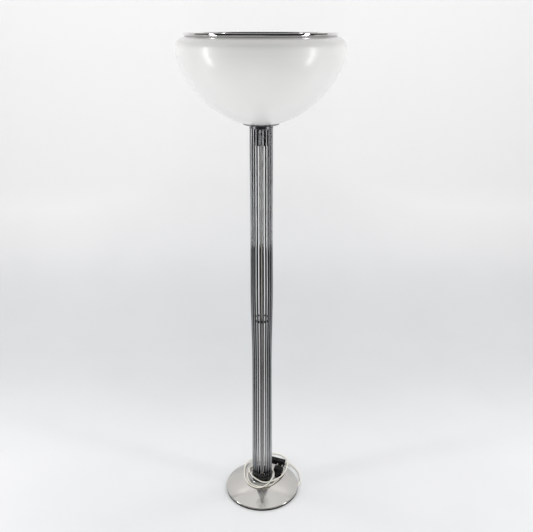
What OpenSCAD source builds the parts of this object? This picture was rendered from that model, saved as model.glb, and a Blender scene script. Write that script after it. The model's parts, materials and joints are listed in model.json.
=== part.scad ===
// Torchiere floor lamp: an opal bowl on a cage of chromed rods, on a domed round base.
// Millimetres. +Z is up, the origin is the middle of the footprint on the floor,
// and the side that faces a viewer is -Y.

/* [Overall] */
// Height of the top of the rim ring above the floor
lamp_h = 1650; // [1400:10:1900]

/* [Bowl shade] */
// Outside diameter of the bowl at its widest
bowl_d = 510; // [440:5:580]
// Height of the bowl from its flat bottom to its lip
bowl_h = 267; // [250:1:300]
// Height of the widest place above the flat bottom
belly_h = 214; // [190:1:235]
// Diameter of the neck below the rim ring
neck_d = 450; // [420:1:490]
// Thickness of the acrylic
bowl_wall = 4; // [3:0.5:6]
// Fullness of the curve below the belly, 1.5 is lean and 2 is a true ellipse
bowl_fullness = 1.5; // [1.3:0.05:2]
// Fullness of the shoulder above the belly
shoulder_fullness = 4.3; // [2:0.1:5]
// Diameter of the flat that the bowl stands on
bowl_seat_d = 68; // [60:1:72]

/* [Rim ring] */
// Height of the ring's outer band
rim_h = 10; // [8:0.5:14]
// Width of the ring seen from above
rim_w = 10; // [8:0.5:14]
// Thickness of the ring's sheet
rim_t = 1.5; // [1:0.1:2.5]
// How far the ring's rounded face bulges out
rim_bulge = 3.5; // [2:0.5:5]

/* [Gallery] */
// Diameter of the saucer under the bowl
gallery_d = 114; // [100:1:130]
// Height of the saucer's turned-up edge
gallery_rise = 4; // [3:0.5:6]
// Thickness of the saucer
gallery_t = 1.6; // [1.2:0.1:2.5]
// Thickness of the soft washer between saucer and bowl
gasket_t = 1.5; // [1:0.1:3]

/* [Column] */
// Number of rods round the column
rod_count = 22; // [16:2:22]
// Diameter of one rod
rod_d = 6.4; // [5:0.1:7]
// Diameter over the outside of the rods
column_d = 72.6; // [68:0.2:80]
// How deep each rod goes into the head plate and into the foot seat
rod_socket = 5; // [3:0.5:6]
// Height of the head plate that holds the rods under the saucer
head_h = 8; // [7:0.5:12]
// Outside diameter of the sleeve inside the rods at the top
sleeve_d = 42; // [30:1:50]
// Length of the sleeve below the head plate
sleeve_h = 54; // [30:1:90]
// Thickness of the sleeve
sleeve_t = 1.5; // [1:0.1:2.5]
// Diameter of the screws that hold the rods
rod_screw_d = 3; // [2.5:0.1:3.5]

/* [Spacer] */
// Height of the spacer's middle above the floor
spacer_z = 714; // [400:5:1000]
// Diameter of the bright disc
spacer_disc_d = 51; // [44:0.5:54]
// Thickness of the disc
spacer_disc_t = 3; // [2:0.5:5]
// Height of the black ring round the disc
spacer_ring_h = 6; // [5:0.5:10]

/* [Foot] */
// Diameter of the chromed flange on the base
flange_d = 100; // [86:1:110]
// Height of the flange
flange_h = 12; // [9:0.5:18]
// Radius of the flange's upper edge
flange_round = 3; // [1:0.5:5]
// Diameter of the black seat that the rods stand in
seat_d = 77; // [77:0.5:84]
// Height of the seat
seat_h = 16; // [13:0.5:22]
// Bore of the seat and the head plate, for the lead
seat_bore_d = 46; // [30:1:50]

/* [Base] */
// Diameter of the base
base_d = 275; // [240:1:320]
// Height of the upright edge above the floor
base_edge_h = 8; // [7:0.5:14]
// Radius between the upright edge and the dome
base_round = 3; // [2:0.5:5]
// Radius of the dome's curve
dome_r = 304; // [280:1:360]
// Thickness of the spun steel
base_wall = 1.5; // [1:0.1:2]
// Height of the steel's edge above the floor
base_gap = 5; // [4:0.5:6]
// Outside diameter of the cast weight
weight_d = 236; // [200:1:244]
// Hole through the weight
weight_bore_d = 60; // [44:1:80]
// Width of the slot in the weight for the lead
weight_slot_w = 14; // [11:0.5:20]
// Thickness of the bottom plate
cover_t = 1.5; // [1:0.1:2.5]
// Thickness of the felt that the lamp stands on
felt_t = 2; // [1.5:0.5:3]
// Width of the felt ring
felt_w = 26; // [20:1:40]

/* [Tubes and nuts] */
// Outside diameter of the two threaded tubes
tube_d = 10; // [9:0.5:13]
// Bore of the threaded tubes
tube_bore_d = 7; // [6:0.5:8]
// Width across the flats of the hexagon nuts
nut_af = 17; // [16:0.5:22]
// Height of the nuts
nut_h = 6; // [4:0.5:9]
// Diameter of the disc that presses the bowl down
clamp_d = 60; // [40:1:64]
// Thickness of that disc
clamp_t = 2; // [1.5:0.5:4]

/* [Lamp holder] */
// Outside diameter of the holder
holder_d = 40; // [36:0.5:46]
// Height of the holder
holder_h = 48; // [44:0.5:56]
// Bore of the holder's screw shell
shell_bore_d = 26.9; // [26.8:0.1:27.4]
// Thickness of the screw shell
shell_t = 0.8; // [0.5:0.1:1.2]
// Depth of the screw shell
shell_h = 26; // [23:0.5:30]

/* [Bulb] */
// Diameter of the glass globe
globe_d = 95; // [80:1:120]
// Thickness of the glass
glass_t = 1.2; // [0.8:0.1:2]
// Diameter of the bulb's screw cap
cap_d = 26.2; // [26:0.1:26.2]
// Height of the screw cap
cap_h = 24; // [20:0.5:26]
// Length of the glass neck between cap and globe
bulb_neck_h = 14; // [10:0.5:24]

/* [Lead] */
// Diameter of the two-core lead
lead_d = 5; // [4.5:0.1:6]
// Where on the base's edge the lead comes out, in degrees from +X
exit_angle = -2.2; // [-20:0.1:20]
// How far the lead is turned there from straight outwards, in degrees
exit_slant = 65.6; // [40:0.1:70]
// Length of the tapered sleeve there
relief_l = 20; // [20:1:40]
// Bend of the lead where it turns up into the column
lead_bend_r = 22; // [20:1:26]

/* [Switch] */
// Length of the switch body
switch_l = 62; // [54:1:66]
// Width of the switch body
switch_w = 20; // [18:0.5:21]
// Height of the switch body
switch_h = 18; // [17:0.5:22]
// Height of its lower half
switch_split = 8; // [7:0.5:9]
// Radius of its corners
switch_corner = 5; // [3:0.5:7]
// Thickness of its shell
switch_wall = 1.8; // [1.4:0.1:2.2]
// Length of the rocker
rocker_l = 22; // [18:0.5:26]
// Width of the rocker
rocker_w = 9; // [8:0.2:10]
// Angle between the rocker's two positions, in degrees
rocker_swing = 16; // [10:1:18]

/* [Plug] */
// Width of the plug
plug_w = 37; // [34:0.5:40]
// Thickness of the plug
plug_t = 26; // [22:0.5:28]
// Length of the plug's moulded body
plug_l = 36; // [34:0.5:44]
// Length of the tapered sleeve where the lead enters
plug_relief_l = 20; // [20:0.5:30]
// Diameter of a plug pin
pin_d = 4.8; // [4:0.1:4.8]
// Length of a plug pin
pin_l = 19; // [17:0.5:20]
// Distance between the two pins
pin_pitch = 19; // [17:0.5:20]

/* [Clearances] */
// Gap between a piece and the hole that it sits in
fit_gap = 0.2; // [0.1:0.05:0.4]
// Gap round a piece that moves
move_gap = 0.5; // [0.3:0.05:0.8]

/* [Hidden] */
$fn = 96;
eps = 0.01;
curve_steps = 28;

bowl_r = bowl_d / 2;
neck_r = neck_d / 2;
base_r = base_d / 2;
rod_r = rod_d / 2;
rod_circle_r = column_d / 2 - rod_r;

// heights, from the floor up
cover_z = felt_t;
cover_foot = 0.6;
cover_edge_t = 2.6;
dome_centre_z = base_edge_h
              - sqrt(pow(dome_r - base_round, 2) - pow(base_r - base_round, 2));
dome_top_z = dome_centre_z + sqrt(pow(dome_r, 2) - pow(flange_d / 2, 2));
flat_under_z = dome_centre_z + sqrt(pow(dome_r - base_wall, 2) - pow(flange_d / 2, 2));
seat_z = dome_top_z + flange_h;
seat_top_z = seat_z + seat_h;
rod_z = seat_top_z - rod_socket;
bowl_z = lamp_h - rim_t - bowl_h;
lip_h = rim_h - rim_t + 0.5;
gallery_z = bowl_z - gasket_t - gallery_t;
head_z = gallery_z - head_h;
rod_l = head_z + rod_socket - rod_z;

// bowl curve: depth of the full curve whose bottom the flat seat cuts off
bowl_seat_r = bowl_seat_d / 2;
bowl_depth = belly_h / pow(1 - pow(bowl_seat_r / bowl_r, 2), 1 / bowl_fullness);
shoulder_h = bowl_h - lip_h - belly_h;

// holder and bulb heights
clamp_z = bowl_z + bowl_wall;
clamp_nut_z = clamp_z + clamp_t;
holder_z = clamp_nut_z + nut_h;
holder_floor_z = holder_z + holder_h - shell_h;
cap_z = holder_z + holder_h - cap_h + 1;
contact_gap = 0.4;
globe_z = cap_z + cap_h + bulb_neck_h + sqrt(pow(globe_d / 2, 2) - pow(cap_d / 2 + 6, 2));

// foot tube
washer_t = 3;
foot_nut_z = flat_under_z - washer_t - nut_h;
foot_tube_z = foot_nut_z - 3;
foot_tube_top_z = seat_z + 9;
weight_z = cover_z + cover_t + 0.5;

// lead: its middle inside the base, and the place and direction in which it comes out
exit_z = cover_z + cover_t + 0.2 + lead_d / 2;
exit_at = base_r * [cos(exit_angle), sin(exit_angle)];
exit_way = exit_angle + exit_slant;
grommet_r = lead_d / 2 + 1.3;

grommet_in = 12;
arc_to = exit_at - grommet_in * [cos(exit_way), sin(exit_way)];

// under the column the lead sets off in the direction from which one arc reaches the grommet
function setting_off(way, n) =
    n == 0 ? way
    : let (to = arc_to - lead_bend_r * [cos(way), sin(way)])
        setting_off(2 * atan2(to.y, to.x) - exit_way, n - 1);
lead_way = setting_off(exit_angle - exit_slant, 12);
arc_from = lead_bend_r * [cos(lead_way), sin(lead_way)];
arc_sweep = exit_way - lead_way;
arc_r = norm(arc_to - arc_from) / 2 / sin(arc_sweep / 2);
arc_centre = arc_from + arc_r * [-sin(lead_way), cos(lead_way)];

// switch and plug: where they lie
switch_at = [64, 138];
switch_turn = -22.62;
plug_tip = [52, -10, 43];
plug_turn = 75.96;
plug_pitch = 6.9;
plug_roll = 12;
tube_sides = 8;

// Route of the lead from the base to the switch, in round numbers
BASE_ROUTE = [
    [142, 4, 6.2], [145, 10, 6.2], [148, 20, 4], [148.5, 34, 3], [147, 50, 3],
    [145, 66, 3], [141, 81, 3], [134, 95, 3.5], [125, 107, 5.5], [112, 118, 8],
    [88, 128, 8]
];
// Route of the lead from the switch to the plug
MAINS_ROUTE = [
    [40, 148, 8], [16, 158, 8], [-12, 168, 4.5], [-44, 150, 6], [-62, 114, 21],
    [-68, 74, 31], [-69, 36, 36.5], [-65, -4, 39], [-48, -40, 39.5], [-14, -60, 40.5],
    [18, -53, 50], [36, -33, 60.5], [44.5, 3, 56], [36, 38, 51.5], [12, 73, 39.5],
    [-24, 77, 39], [-50, 46, 47], [-47, 8, 58.5], [-33, -28, 64], [2, -44.5, 54],
    [36, -36.5, 52.5], [68, -4, 44], [88, 38, 33], [99, 86, 23], [103, 130, 14],
    [90, 172, 3.5], [58, 192, 3.5], [20, 188, 5], [-6, 162, 11], [-23, 125, 21],
    [-39, 80, 33], [-52, 38, 39.5], [-54.5, -3, 41], [-41, -37, 41], [-12.5, -54, 41],
    [20.5, -51, 41], [42, -36, 41], [49, -22, 41.5], [52, -10, 43], [55, 2, 44.5]
];

function rod_name(i) = str("rod_", i < 10 ? "0" : "", i);
function rod_angle(i) = -90 + 360 / rod_count * (i - 0.5);

// points of an arc in the plane of a revolved outline, angles from +X
function arc(cx, cz, r, a0, a1, steps) =
    [for (i = [0:steps]) let (a = a0 + (a1 - a0) * i / steps) [cx + r * cos(a), cz + r * sin(a)]];

// the bowl's curve below its belly, as [radius, height above the flat bottom]
function lower_curve(r, depth, a0, a1, steps) =
    [for (i = [0:steps]) let (a = a0 + (a1 - a0) * i / steps)
        [r * cos(a), belly_h - depth * pow(sin(a), 2 / bowl_fullness)]];

// the bowl's shoulder from belly to neck, drawn in by the wall for its inner face
function shoulder_curve(inset, steps) =
    [for (i = [0:steps]) let (u = i / steps)
        [bowl_r - inset - (bowl_r - neck_r) * pow(u, shoulder_fullness), belly_h + shoulder_h * u]];

module ring(outer_r, inner_r, h) {
    difference() {
        cylinder(r = outer_r, h = h);
        translate([0, 0, -1])
            cylinder(r = inner_r, h = h + 2);
    }
}

module hex_nut(z) {
    translate([0, 0, z])
        difference() {
            cylinder(d = nut_af / cos(30), h = nut_h, $fn = 6);
            translate([0, 0, -1])
                cylinder(d = tube_d + fit_gap, h = nut_h + 2);
        }
}

module at_each_rod() {
    for (i = [1:rod_count])
        rotate(rod_angle(i))
            translate([rod_circle_r, 0, 0])
                children();
}

// ---------- base ----------

module at_exit() {
    translate([exit_at.x, exit_at.y, exit_z])
        rotate(exit_way)
            rotate([0, 90, 0])
                children();
}

module base_dome() {
    inner_r = dome_r - base_wall;
    edge_angle = acos((base_r - base_round) / (dome_r - base_round));
    crown_angle = acos(flange_d / 2 / dome_r);
    inner_crown = acos(flange_d / 2 / inner_r);
    hole_r = tube_d / 2 + fit_gap;
    color("silver")
        difference() {
            rotate_extrude($fn = 180)
                polygon(concat(
                    [[hole_r, dome_top_z]],
                    arc(0, dome_centre_z, dome_r, crown_angle, edge_angle, curve_steps),
                    arc(base_r - base_round, base_edge_h, base_round, edge_angle, 0, 8),
                    [[base_r, base_gap], [base_r - base_wall, base_gap]],
                    arc(base_r - base_round, base_edge_h, base_round - base_wall, 0, edge_angle, 8),
                    arc(0, dome_centre_z, inner_r, edge_angle, inner_crown, curve_steps),
                    [[hole_r, flat_under_z]]));
            at_exit()
                cylinder(r = grommet_r + fit_gap, h = 24, center = true);
        }
}

// its top follows the steel, a fixed gap below it, and is flat below the flange
module weight_outline() {
    gap = 2;
    r = dome_r - base_wall - gap;
    outer = acos(weight_d / 2 / r);
    inner = acos(flange_d / 2 / r);
    polygon(concat(
        [[weight_bore_d / 2, weight_z], [weight_d / 2, weight_z]],
        arc(0, dome_centre_z, r, outer, inner, curve_steps),
        [[weight_bore_d / 2, dome_centre_z + r * sin(inner)]]));
}

module base_weight() {
    slot_h = lead_d + 3;
    color("dimgray")
        difference() {
            rotate_extrude()
                weight_outline();
            translate([arc_centre.x, arc_centre.y, weight_z - 1])
                rotate(lead_way - 100)
                    rotate_extrude(angle = arc_sweep + 20)
                        translate([arc_r - weight_slot_w / 2, 0])
                            square([weight_slot_w, slot_h]);
            cover_screw_places()
                translate([0, 0, weight_z - 1])
                    cylinder(d = 3.2, h = 9);
        }
}

module cover_screw_places() {
    for (a = [60, 180, 300])
        rotate(a)
            translate([weight_d / 2 - 20, 0, 0])
                children();
}

module base_cover() {
    edge_r = base_r - 0.8;
    color([0.06, 0.06, 0.07])
        difference() {
            union() {
                translate([0, 0, cover_z])
                    cylinder(r = edge_r, h = cover_t);
                translate([0, 0, cover_foot])
                    ring(edge_r, edge_r - cover_edge_t, base_gap - fit_gap - cover_foot);
            }
            at_exit()
                cylinder(r = grommet_r + fit_gap, h = 60, center = true);
            cover_screw_places()
                cylinder(d = 4.2, h = cover_z + cover_t + 1);
        }
}

module cover_screws() {
    color("silver")
        cover_screw_places()
            translate([0, 0, cover_z - 1.6]) {
                cylinder(d = 7, h = 1.6);
                cylinder(d = 4, h = 1.6 + cover_t);
                cylinder(d = 3, h = 1.6 + cover_t + 6);
            }
}

module felt_ring() {
    color("black")
        difference() {
            ring(base_r - 4, base_r - 4 - felt_w, felt_t);
            cover_screw_places()
                translate([0, 0, -1])
                    cylinder(d = 9, h = felt_t + 2);
        }
}

// a soft sleeve held in the edge, whose taper is the lead's strain relief
module cord_grommet() {
    color("ivory")
        at_exit()
            difference() {
                union() {
                    translate([0, 0, -grommet_in])
                        cylinder(r = grommet_r, h = grommet_in - 3);
                    translate([0, 0, -3])
                        cylinder(r1 = grommet_r, r2 = lead_d / 2 + 0.6, h = relief_l);
                }
                translate([0, 0, -grommet_in - 1])
                    cylinder(d = lead_d + fit_gap, h = grommet_in + relief_l);
            }
}

// ---------- foot ----------

module foot_flange() {
    r = flange_d / 2;
    bore_r = (tube_d + 2 * fit_gap) / 2;
    bead_r = 1.5;
    color("silver")
        translate([0, 0, dome_top_z])
            difference() {
                rotate_extrude()
                    polygon(concat(
                        [[bore_r, 0], [r - 1, 0]],
                        arc(r - 1, bead_r, bead_r, -90, 90, 8),
                        [[r - 1.5, 2 * bead_r + 1]],
                        arc(r - 1.5 - flange_round, flange_h - flange_round, flange_round, 0, 90, 8),
                        [[bore_r, flange_h]]));
                at_each_rod()
                    translate([0, 0, -1])
                        cylinder(d = rod_screw_d + 2 * fit_gap, h = flange_h + 2);
                at_each_rod()
                    translate([0, 0, -1])
                        cylinder(d = rod_screw_d + 3.2, h = 4.5);
            }
}

module rod_seat() {
    r = seat_d / 2;
    color([0.06, 0.06, 0.07])
        translate([0, 0, seat_z])
            difference() {
                rotate_extrude()
                    polygon(concat(
                        [[seat_bore_d / 2, 0], [r, 0]],
                        arc(r - 1.5, seat_h - 1.5, 1.5, 0, 90, 5),
                        [[seat_bore_d / 2, seat_h]]));
                at_each_rod()
                    translate([0, 0, seat_h - rod_socket])
                        cylinder(d = rod_d + fit_gap, h = rod_socket + 1);
                at_each_rod()
                    translate([0, 0, -1])
                        cylinder(d = rod_screw_d + 2 * fit_gap, h = seat_h + 2);
            }
}

module rod_screws_lower() {
    color("silver")
        at_each_rod()
            translate([0, 0, dome_top_z + 0.5]) {
                cylinder(d = rod_screw_d + 2.4, h = 2.8, $fn = 24);
                cylinder(d = rod_screw_d, h = rod_z - dome_top_z + 9, $fn = 24);
            }
}

module foot_tube() {
    color("goldenrod")
        translate([0, 0, foot_tube_z])
            ring(tube_d / 2, tube_bore_d / 2, foot_tube_top_z - foot_tube_z);
}

// the nut under the base with its wide washer, and the nut on the flange
module foot_nut() {
    color("silver") {
        hex_nut(foot_nut_z);
        translate([0, 0, flat_under_z - washer_t])
            ring(22, (tube_d + fit_gap) / 2, washer_t);
        hex_nut(seat_z + eps);
    }
}

// ---------- column ----------

module rod(i) {
    color("silver")
        rotate(rod_angle(i))
            translate([rod_circle_r, 0, rod_z])
                difference() {
                    cylinder(r = rod_r, h = rod_l, $fn = 32);
                    translate([0, 0, -1])
                        cylinder(d = rod_screw_d + eps, h = 11, $fn = 24);
                    translate([0, 0, rod_l - 10])
                        cylinder(d = rod_screw_d + eps, h = 11, $fn = 24);
                }
}

module spacer_disc() {
    color("silver")
        translate([0, 0, spacer_z - spacer_disc_t / 2])
            ring(spacer_disc_d / 2, lead_d / 2 + fit_gap, spacer_disc_t);
}

// black ring with a groove for the disc, pressed against the rods from inside
module spacer_ring() {
    outer_r = rod_circle_r - rod_r - fit_gap / 2;
    color([0.05, 0.05, 0.05])
        translate([0, 0, spacer_z - spacer_ring_h / 2])
            rotate_extrude()
                difference() {
                    translate([spacer_disc_d / 2 - 1.5, 0])
                        square([outer_r - spacer_disc_d / 2 + 1.5, spacer_ring_h]);
                    translate([0, (spacer_ring_h - spacer_disc_t) / 2])
                        square([spacer_disc_d / 2 + eps, spacer_disc_t]);
                }
}

module head_plate() {
    r = column_d / 2 + 0.7;
    color("silver")
        translate([0, 0, head_z])
            difference() {
                rotate_extrude()
                    polygon(concat(
                        [[(tube_d + fit_gap) / 2, 0], [r - 0.8, 0]],
                        arc(r - 0.8, 0.8, 0.8, -90, 0, 4),
                        arc(r - 0.8, head_h - 0.8, 0.8, 0, 90, 4),
                        [[(tube_d + fit_gap) / 2, head_h]]));
                at_each_rod()
                    translate([0, 0, -1])
                        cylinder(d = rod_d + fit_gap, h = rod_socket + 1);
                at_each_rod()
                    cylinder(d = rod_screw_d + 2 * fit_gap, h = head_h + 1);
            }
}

module head_sleeve() {
    color("silver")
        translate([0, 0, head_z - sleeve_h])
            ring(sleeve_d / 2, sleeve_d / 2 - sleeve_t, sleeve_h - eps);
}

// their low heads stand in holes in the saucer
module rod_screws_upper() {
    color("silver")
        at_each_rod()
            translate([0, 0, gallery_z]) {
                translate([0, 0, 0.1])
                    cylinder(d = rod_screw_d + 1.6, h = 1.3, $fn = 24);
                translate([0, 0, -head_h + rod_socket - 8])
                    cylinder(d = rod_screw_d, h = head_h - rod_socket + 8.2, $fn = 24);
            }
}

// ---------- shade ----------

module gallery_dish() {
    flat_r = column_d / 2 + 2;
    edge_r = gallery_d / 2;
    color("silver")
        translate([0, 0, gallery_z])
            difference() {
                rotate_extrude()
                    polygon([
                        [(tube_d + fit_gap) / 2, 0], [flat_r, 0],
                        [edge_r - 0.6, gallery_rise], [edge_r, gallery_rise + gallery_t / 2],
                        [edge_r - 0.6, gallery_rise + gallery_t],
                        [flat_r - 0.6, gallery_t], [(tube_d + fit_gap) / 2, gallery_t]]);
                at_each_rod()
                    translate([0, 0, -1])
                        cylinder(d = rod_screw_d + 1.6 + 2 * fit_gap, h = gallery_t + 2);
            }
}

module shade_gasket() {
    color([0.1, 0.1, 0.1])
        translate([0, 0, bowl_z - gasket_t])
            ring(rod_circle_r - rod_screw_d / 2 - 1.5, (tube_d + 1) / 2, gasket_t);
}

module bowl_shade() {
    inner_depth = bowl_depth - bowl_wall;
    seat_angle = acos(bowl_seat_r / bowl_r);
    floor_angle = asin(pow((belly_h - bowl_wall) / inner_depth, bowl_fullness / 2));
    hole_r = (tube_d + 1) / 2;
    outer_lower = lower_curve(bowl_r, bowl_depth, seat_angle, 0, curve_steps);
    inner_lower = lower_curve(bowl_r - bowl_wall, inner_depth, 0, floor_angle, curve_steps);
    inner_shoulder = shoulder_curve(bowl_wall, curve_steps / 2);
    color([0.93, 0.93, 0.91])
        translate([0, 0, bowl_z])
            rotate_extrude($fn = 180)
                polygon(concat(
                    [[hole_r, 0]],
                    outer_lower,
                    [for (i = [1:curve_steps / 2]) shoulder_curve(0, curve_steps / 2)[i]],
                    [[neck_r, bowl_h], [neck_r - bowl_wall, bowl_h]],
                    [for (i = [curve_steps / 2:-1:1]) inner_shoulder[i]],
                    inner_lower,
                    [[hole_r, bowl_wall]]));
}

module rim_ring() {
    face_r = neck_r + fit_gap + rim_t / 3;
    inner_r = face_r + rim_bulge - rim_w;
    crown = rim_h / 2;
    color("silver")
        translate([0, 0, lamp_h - rim_h])
            rotate_extrude($fn = 180)
                polygon(concat(
                    [for (a = [-90:15:90]) [face_r + rim_bulge * cos(a), crown + crown * sin(a)]],
                    arc(inner_r + rim_t, rim_h - rim_t, rim_t, 90, 180, 5),
                    [[inner_r, 2], [inner_r + rim_t, 2],
                     [inner_r + rim_t, rim_h - rim_t], [neck_r + fit_gap, rim_h - rim_t],
                     [neck_r + fit_gap, 0]]));
}

module holder_tube() {
    color("goldenrod")
        translate([0, 0, head_z + 1])
            ring(tube_d / 2, tube_bore_d / 2, holder_z + 8 - head_z - 1);
}

module clamp_disc() {
    color("silver")
        translate([0, 0, clamp_z])
            ring(clamp_d / 2, (tube_d + fit_gap) / 2, clamp_t);
}

module clamp_nut() {
    color("silver")
        hex_nut(clamp_nut_z);
}

// ---------- lamp holder and bulb ----------

module lamp_holder() {
    r = holder_d / 2;
    bore = shell_bore_d / 2 + shell_t + fit_gap;
    waist = 13;
    floor_h = holder_h - shell_h - fit_gap;
    color("ghostwhite")
        translate([0, 0, holder_z])
            rotate_extrude()
                polygon([
                    [(tube_d + fit_gap) / 2, 0], [waist, 0], [r - 1, 12], [r, 13],
                    [r, holder_h - 1], [r - 1, holder_h], [bore, holder_h],
                    [bore, floor_h], [(tube_d + fit_gap) / 2, floor_h]]);
}

// the screw shell and the spring tongue in the middle
module holder_contacts() {
    r = shell_bore_d / 2;
    tongue_top = cap_z - 2.5 - contact_gap;
    color("gold")
        translate([0, 0, holder_floor_z]) {
            ring(r + shell_t, r, shell_h - 1);
            ring(r + eps, 9, shell_t);
            difference() {
                translate([0, 0, -6])
                    cylinder(r = 4, h = tongue_top - holder_floor_z + 6);
                translate([0, 0, -7])
                    cylinder(r = 2.5, h = tongue_top - holder_floor_z + 5);
            }
        }
}

module bulb_cap() {
    r = cap_d / 2;
    color("silver")
        translate([0, 0, cap_z])
            rotate_extrude()
                polygon([[0, 2], [6, 0], [r - 2, 2.5], [r, 4.5], [r, cap_h], [0, cap_h]]);
}

module bulb_tip() {
    color("gray")
        translate([0, 0, cap_z - 2.5])
            rotate_extrude()
                polygon([[0, 0], [3, 0], [4.5, 1.5], [4.5, 2.4], [0, 2.4 + 1.8]]);
}

module bulb_glass() {
    globe_r = globe_d / 2;
    neck_low = cap_d / 2 - 0.5;
    neck_high = cap_d / 2 + 6;
    low_z = cap_z + cap_h + eps;
    a0 = -acos(neck_high / globe_r);
    inner_a0 = -acos((neck_high - glass_t) / (globe_r - glass_t));
    color([0.96, 0.96, 0.94])
        rotate_extrude()
            polygon(concat(
                [[0, low_z], [neck_low, low_z]],
                arc(0, globe_z, globe_r, a0, 89.9, curve_steps),
                [[0, globe_z + globe_r], [0, globe_z + globe_r - glass_t]],
                arc(0, globe_z, globe_r - glass_t, 89.9, inner_a0, curve_steps),
                [[neck_low - glass_t, low_z + glass_t], [0, low_z + glass_t]]));
}

// ---------- leads ----------

function unit(v) = v / norm(v);

// point at t between p1 and p2 on a smooth curve through p0, p1, p2 and p3
function between(p0, p1, p2, p3, t) =
    0.5 * (2 * p1 + (p2 - p0) * t + (2 * p0 - 5 * p1 + 4 * p2 - p3) * t * t
           + (3 * p1 - p0 - 3 * p2 + p3) * t * t * t);

function route_point(route, i) =
    i < 0 ? 2 * route[0] - route[1]
    : i >= len(route) ? 2 * route[len(route) - 1] - route[len(route) - 2]
    : route[i];

// the point at u, counted in stretches of the route
function along(route, u) =
    let (i = min(floor(u), len(route) - 2))
        between(route_point(route, i - 1), route[i], route[i + 1], route_point(route, i + 2), u - i);

// so many points, evenly spaced, on the curve through the route
function smooth(route, count) =
    [for (k = [0:count - 1]) along(route, k * (len(route) - 1) / (count - 1))];

// a frame of two vectors square to each stretch, carried along the path without twist
function carried(side, way) = unit(side - (side * way) * way);

function path_way(path, i) =
    unit(path[min(i + 1, len(path) - 1)] - path[max(i - 1, 0)]);

function path_sides(path) =
    [for (i = 0, way = path_way(path, 0), side = carried(abs(way.z) > 0.9 ? [0, 1, 0] : [0, 0, 1], way);
          i < len(path);
          i = i + 1, side = i < len(path) ? carried(side, path_way(path, i)) : side) side];

module swept_tube(path, d, sides) {
    side = path_sides(path);
    n = len(path);
    points = [for (i = [0:n - 1]) for (k = [0:sides - 1])
        let (a = 360 * k / sides, other = cross(path_way(path, i), side[i]))
            path[i] + d / 2 * (cos(a) * side[i] + sin(a) * other)];
    skin = [for (i = [0:n - 2]) for (k = [0:sides - 1])
        let (k2 = (k + 1) % sides)
            [i * sides + k, (i + 1) * sides + k, (i + 1) * sides + k2, i * sides + k2]];
    first = [for (k = [0:sides - 1]) k];
    last = [for (k = [sides - 1:-1:0]) (n - 1) * sides + k];
    polyhedron(points, concat(skin, [first, last]));
}

module base_lead() {
    color("ivory")
        swept_tube(BASE_ROUTE, lead_d, tube_sides);
}

module mains_lead() {
    color("ivory")
        swept_tube(smooth(MAINS_ROUTE, 70), lead_d, tube_sides);
}

// inside the lamp: down the column and the tubes, then round the weight's slot to the exit
function inner_path() = concat(
    [[0, 0, holder_floor_z - 8]],
    [for (a = [0:15:90])
        [(1 - cos(a)) * arc_from.x, (1 - cos(a)) * arc_from.y, exit_z + lead_bend_r * (1 - sin(a))]],
    [for (i = [1:8]) let (a = lead_way - 90 + arc_sweep * i / 8)
        [arc_centre.x + arc_r * cos(a), arc_centre.y + arc_r * sin(a), exit_z]],
    [[BASE_ROUTE[0].x, BASE_ROUTE[0].y, exit_z]]);

module inner_lead() {
    color("ivory")
        swept_tube(inner_path(), lead_d, tube_sides);
}

// ---------- switch on the lead ----------

module at_switch() {
    translate([switch_at[0], switch_at[1], 0])
        rotate(switch_turn)
            children();
}

module switch_block(inset, z0, z1) {
    r = switch_corner - inset;
    hull()
        for (x = [-1, 1], y = [-1, 1])
            translate([x * (switch_l / 2 - switch_corner), y * (switch_w / 2 - switch_corner), z0])
                cylinder(r = r, h = z1 - z0, $fn = 32);
}

module rocker_axis() {
    translate([0, 0, switch_h - 4])
        rotate([90, 0, 0])
            children();
}

module lead_entries() {
    for (x = [-1, 1])
        translate([x * switch_l / 2, 0, switch_split])
            rotate([0, 90, 0])
                cylinder(d = lead_d + 3, h = 8, center = true);
}

module switch_base() {
    color([0.05, 0.05, 0.05])
        at_switch()
            difference() {
                union() {
                    switch_block(0.8, 0, 1);
                    switch_block(0, 0.8, switch_split);
                }
                switch_block(switch_wall, switch_wall, switch_split + 1);
                lead_entries();
            }
}

module switch_cover() {
    window_l = rocker_l + 2 * move_gap;
    window_w = rocker_w + 2 * move_gap;
    color([0.05, 0.05, 0.05])
        at_switch()
            difference() {
                union() {
                    switch_block(0, switch_split + eps, switch_h - 1.5);
                    switch_block(1.2, switch_h - 2, switch_h);
                }
                difference() {
                    switch_block(switch_wall, switch_split - 1, switch_h - switch_wall);
                    for (y = [-1, 1])
                        translate([-4, y * (window_w / 2 + 1) - 1, switch_split - 2])
                            cube([8, 2, switch_h]);
                }
                translate([-window_l / 2, -window_w / 2, switch_split])
                    cube([window_l, window_w, switch_h]);
                rocker_axis()
                    cylinder(d = 3.1, h = window_w + 3, center = true, $fn = 32);
                lead_entries();
            }
}

// a see-saw key with a dished top, drawn tipped down at its -X end
module switch_rocker() {
    color([0.08, 0.08, 0.08])
        at_switch()
            rocker_axis()
                rotate([0, 0, rocker_swing / 2]) {
                    linear_extrude(height = rocker_w, center = true)
                        difference() {
                            polygon([
                                [-rocker_l / 2, -0.5], [-3, -4.5], [3, -4.5],
                                [rocker_l / 2, -0.5], [rocker_l / 2, 3.6], [-rocker_l / 2, 3.6]]);
                            translate([0, 3.6 + 60 - 1.6])
                                circle(r = 60, $fn = 180);
                        }
                    cylinder(d = 2.9, h = rocker_w + 2 * move_gap + 2.4, center = true, $fn = 32);
                }
}

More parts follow.
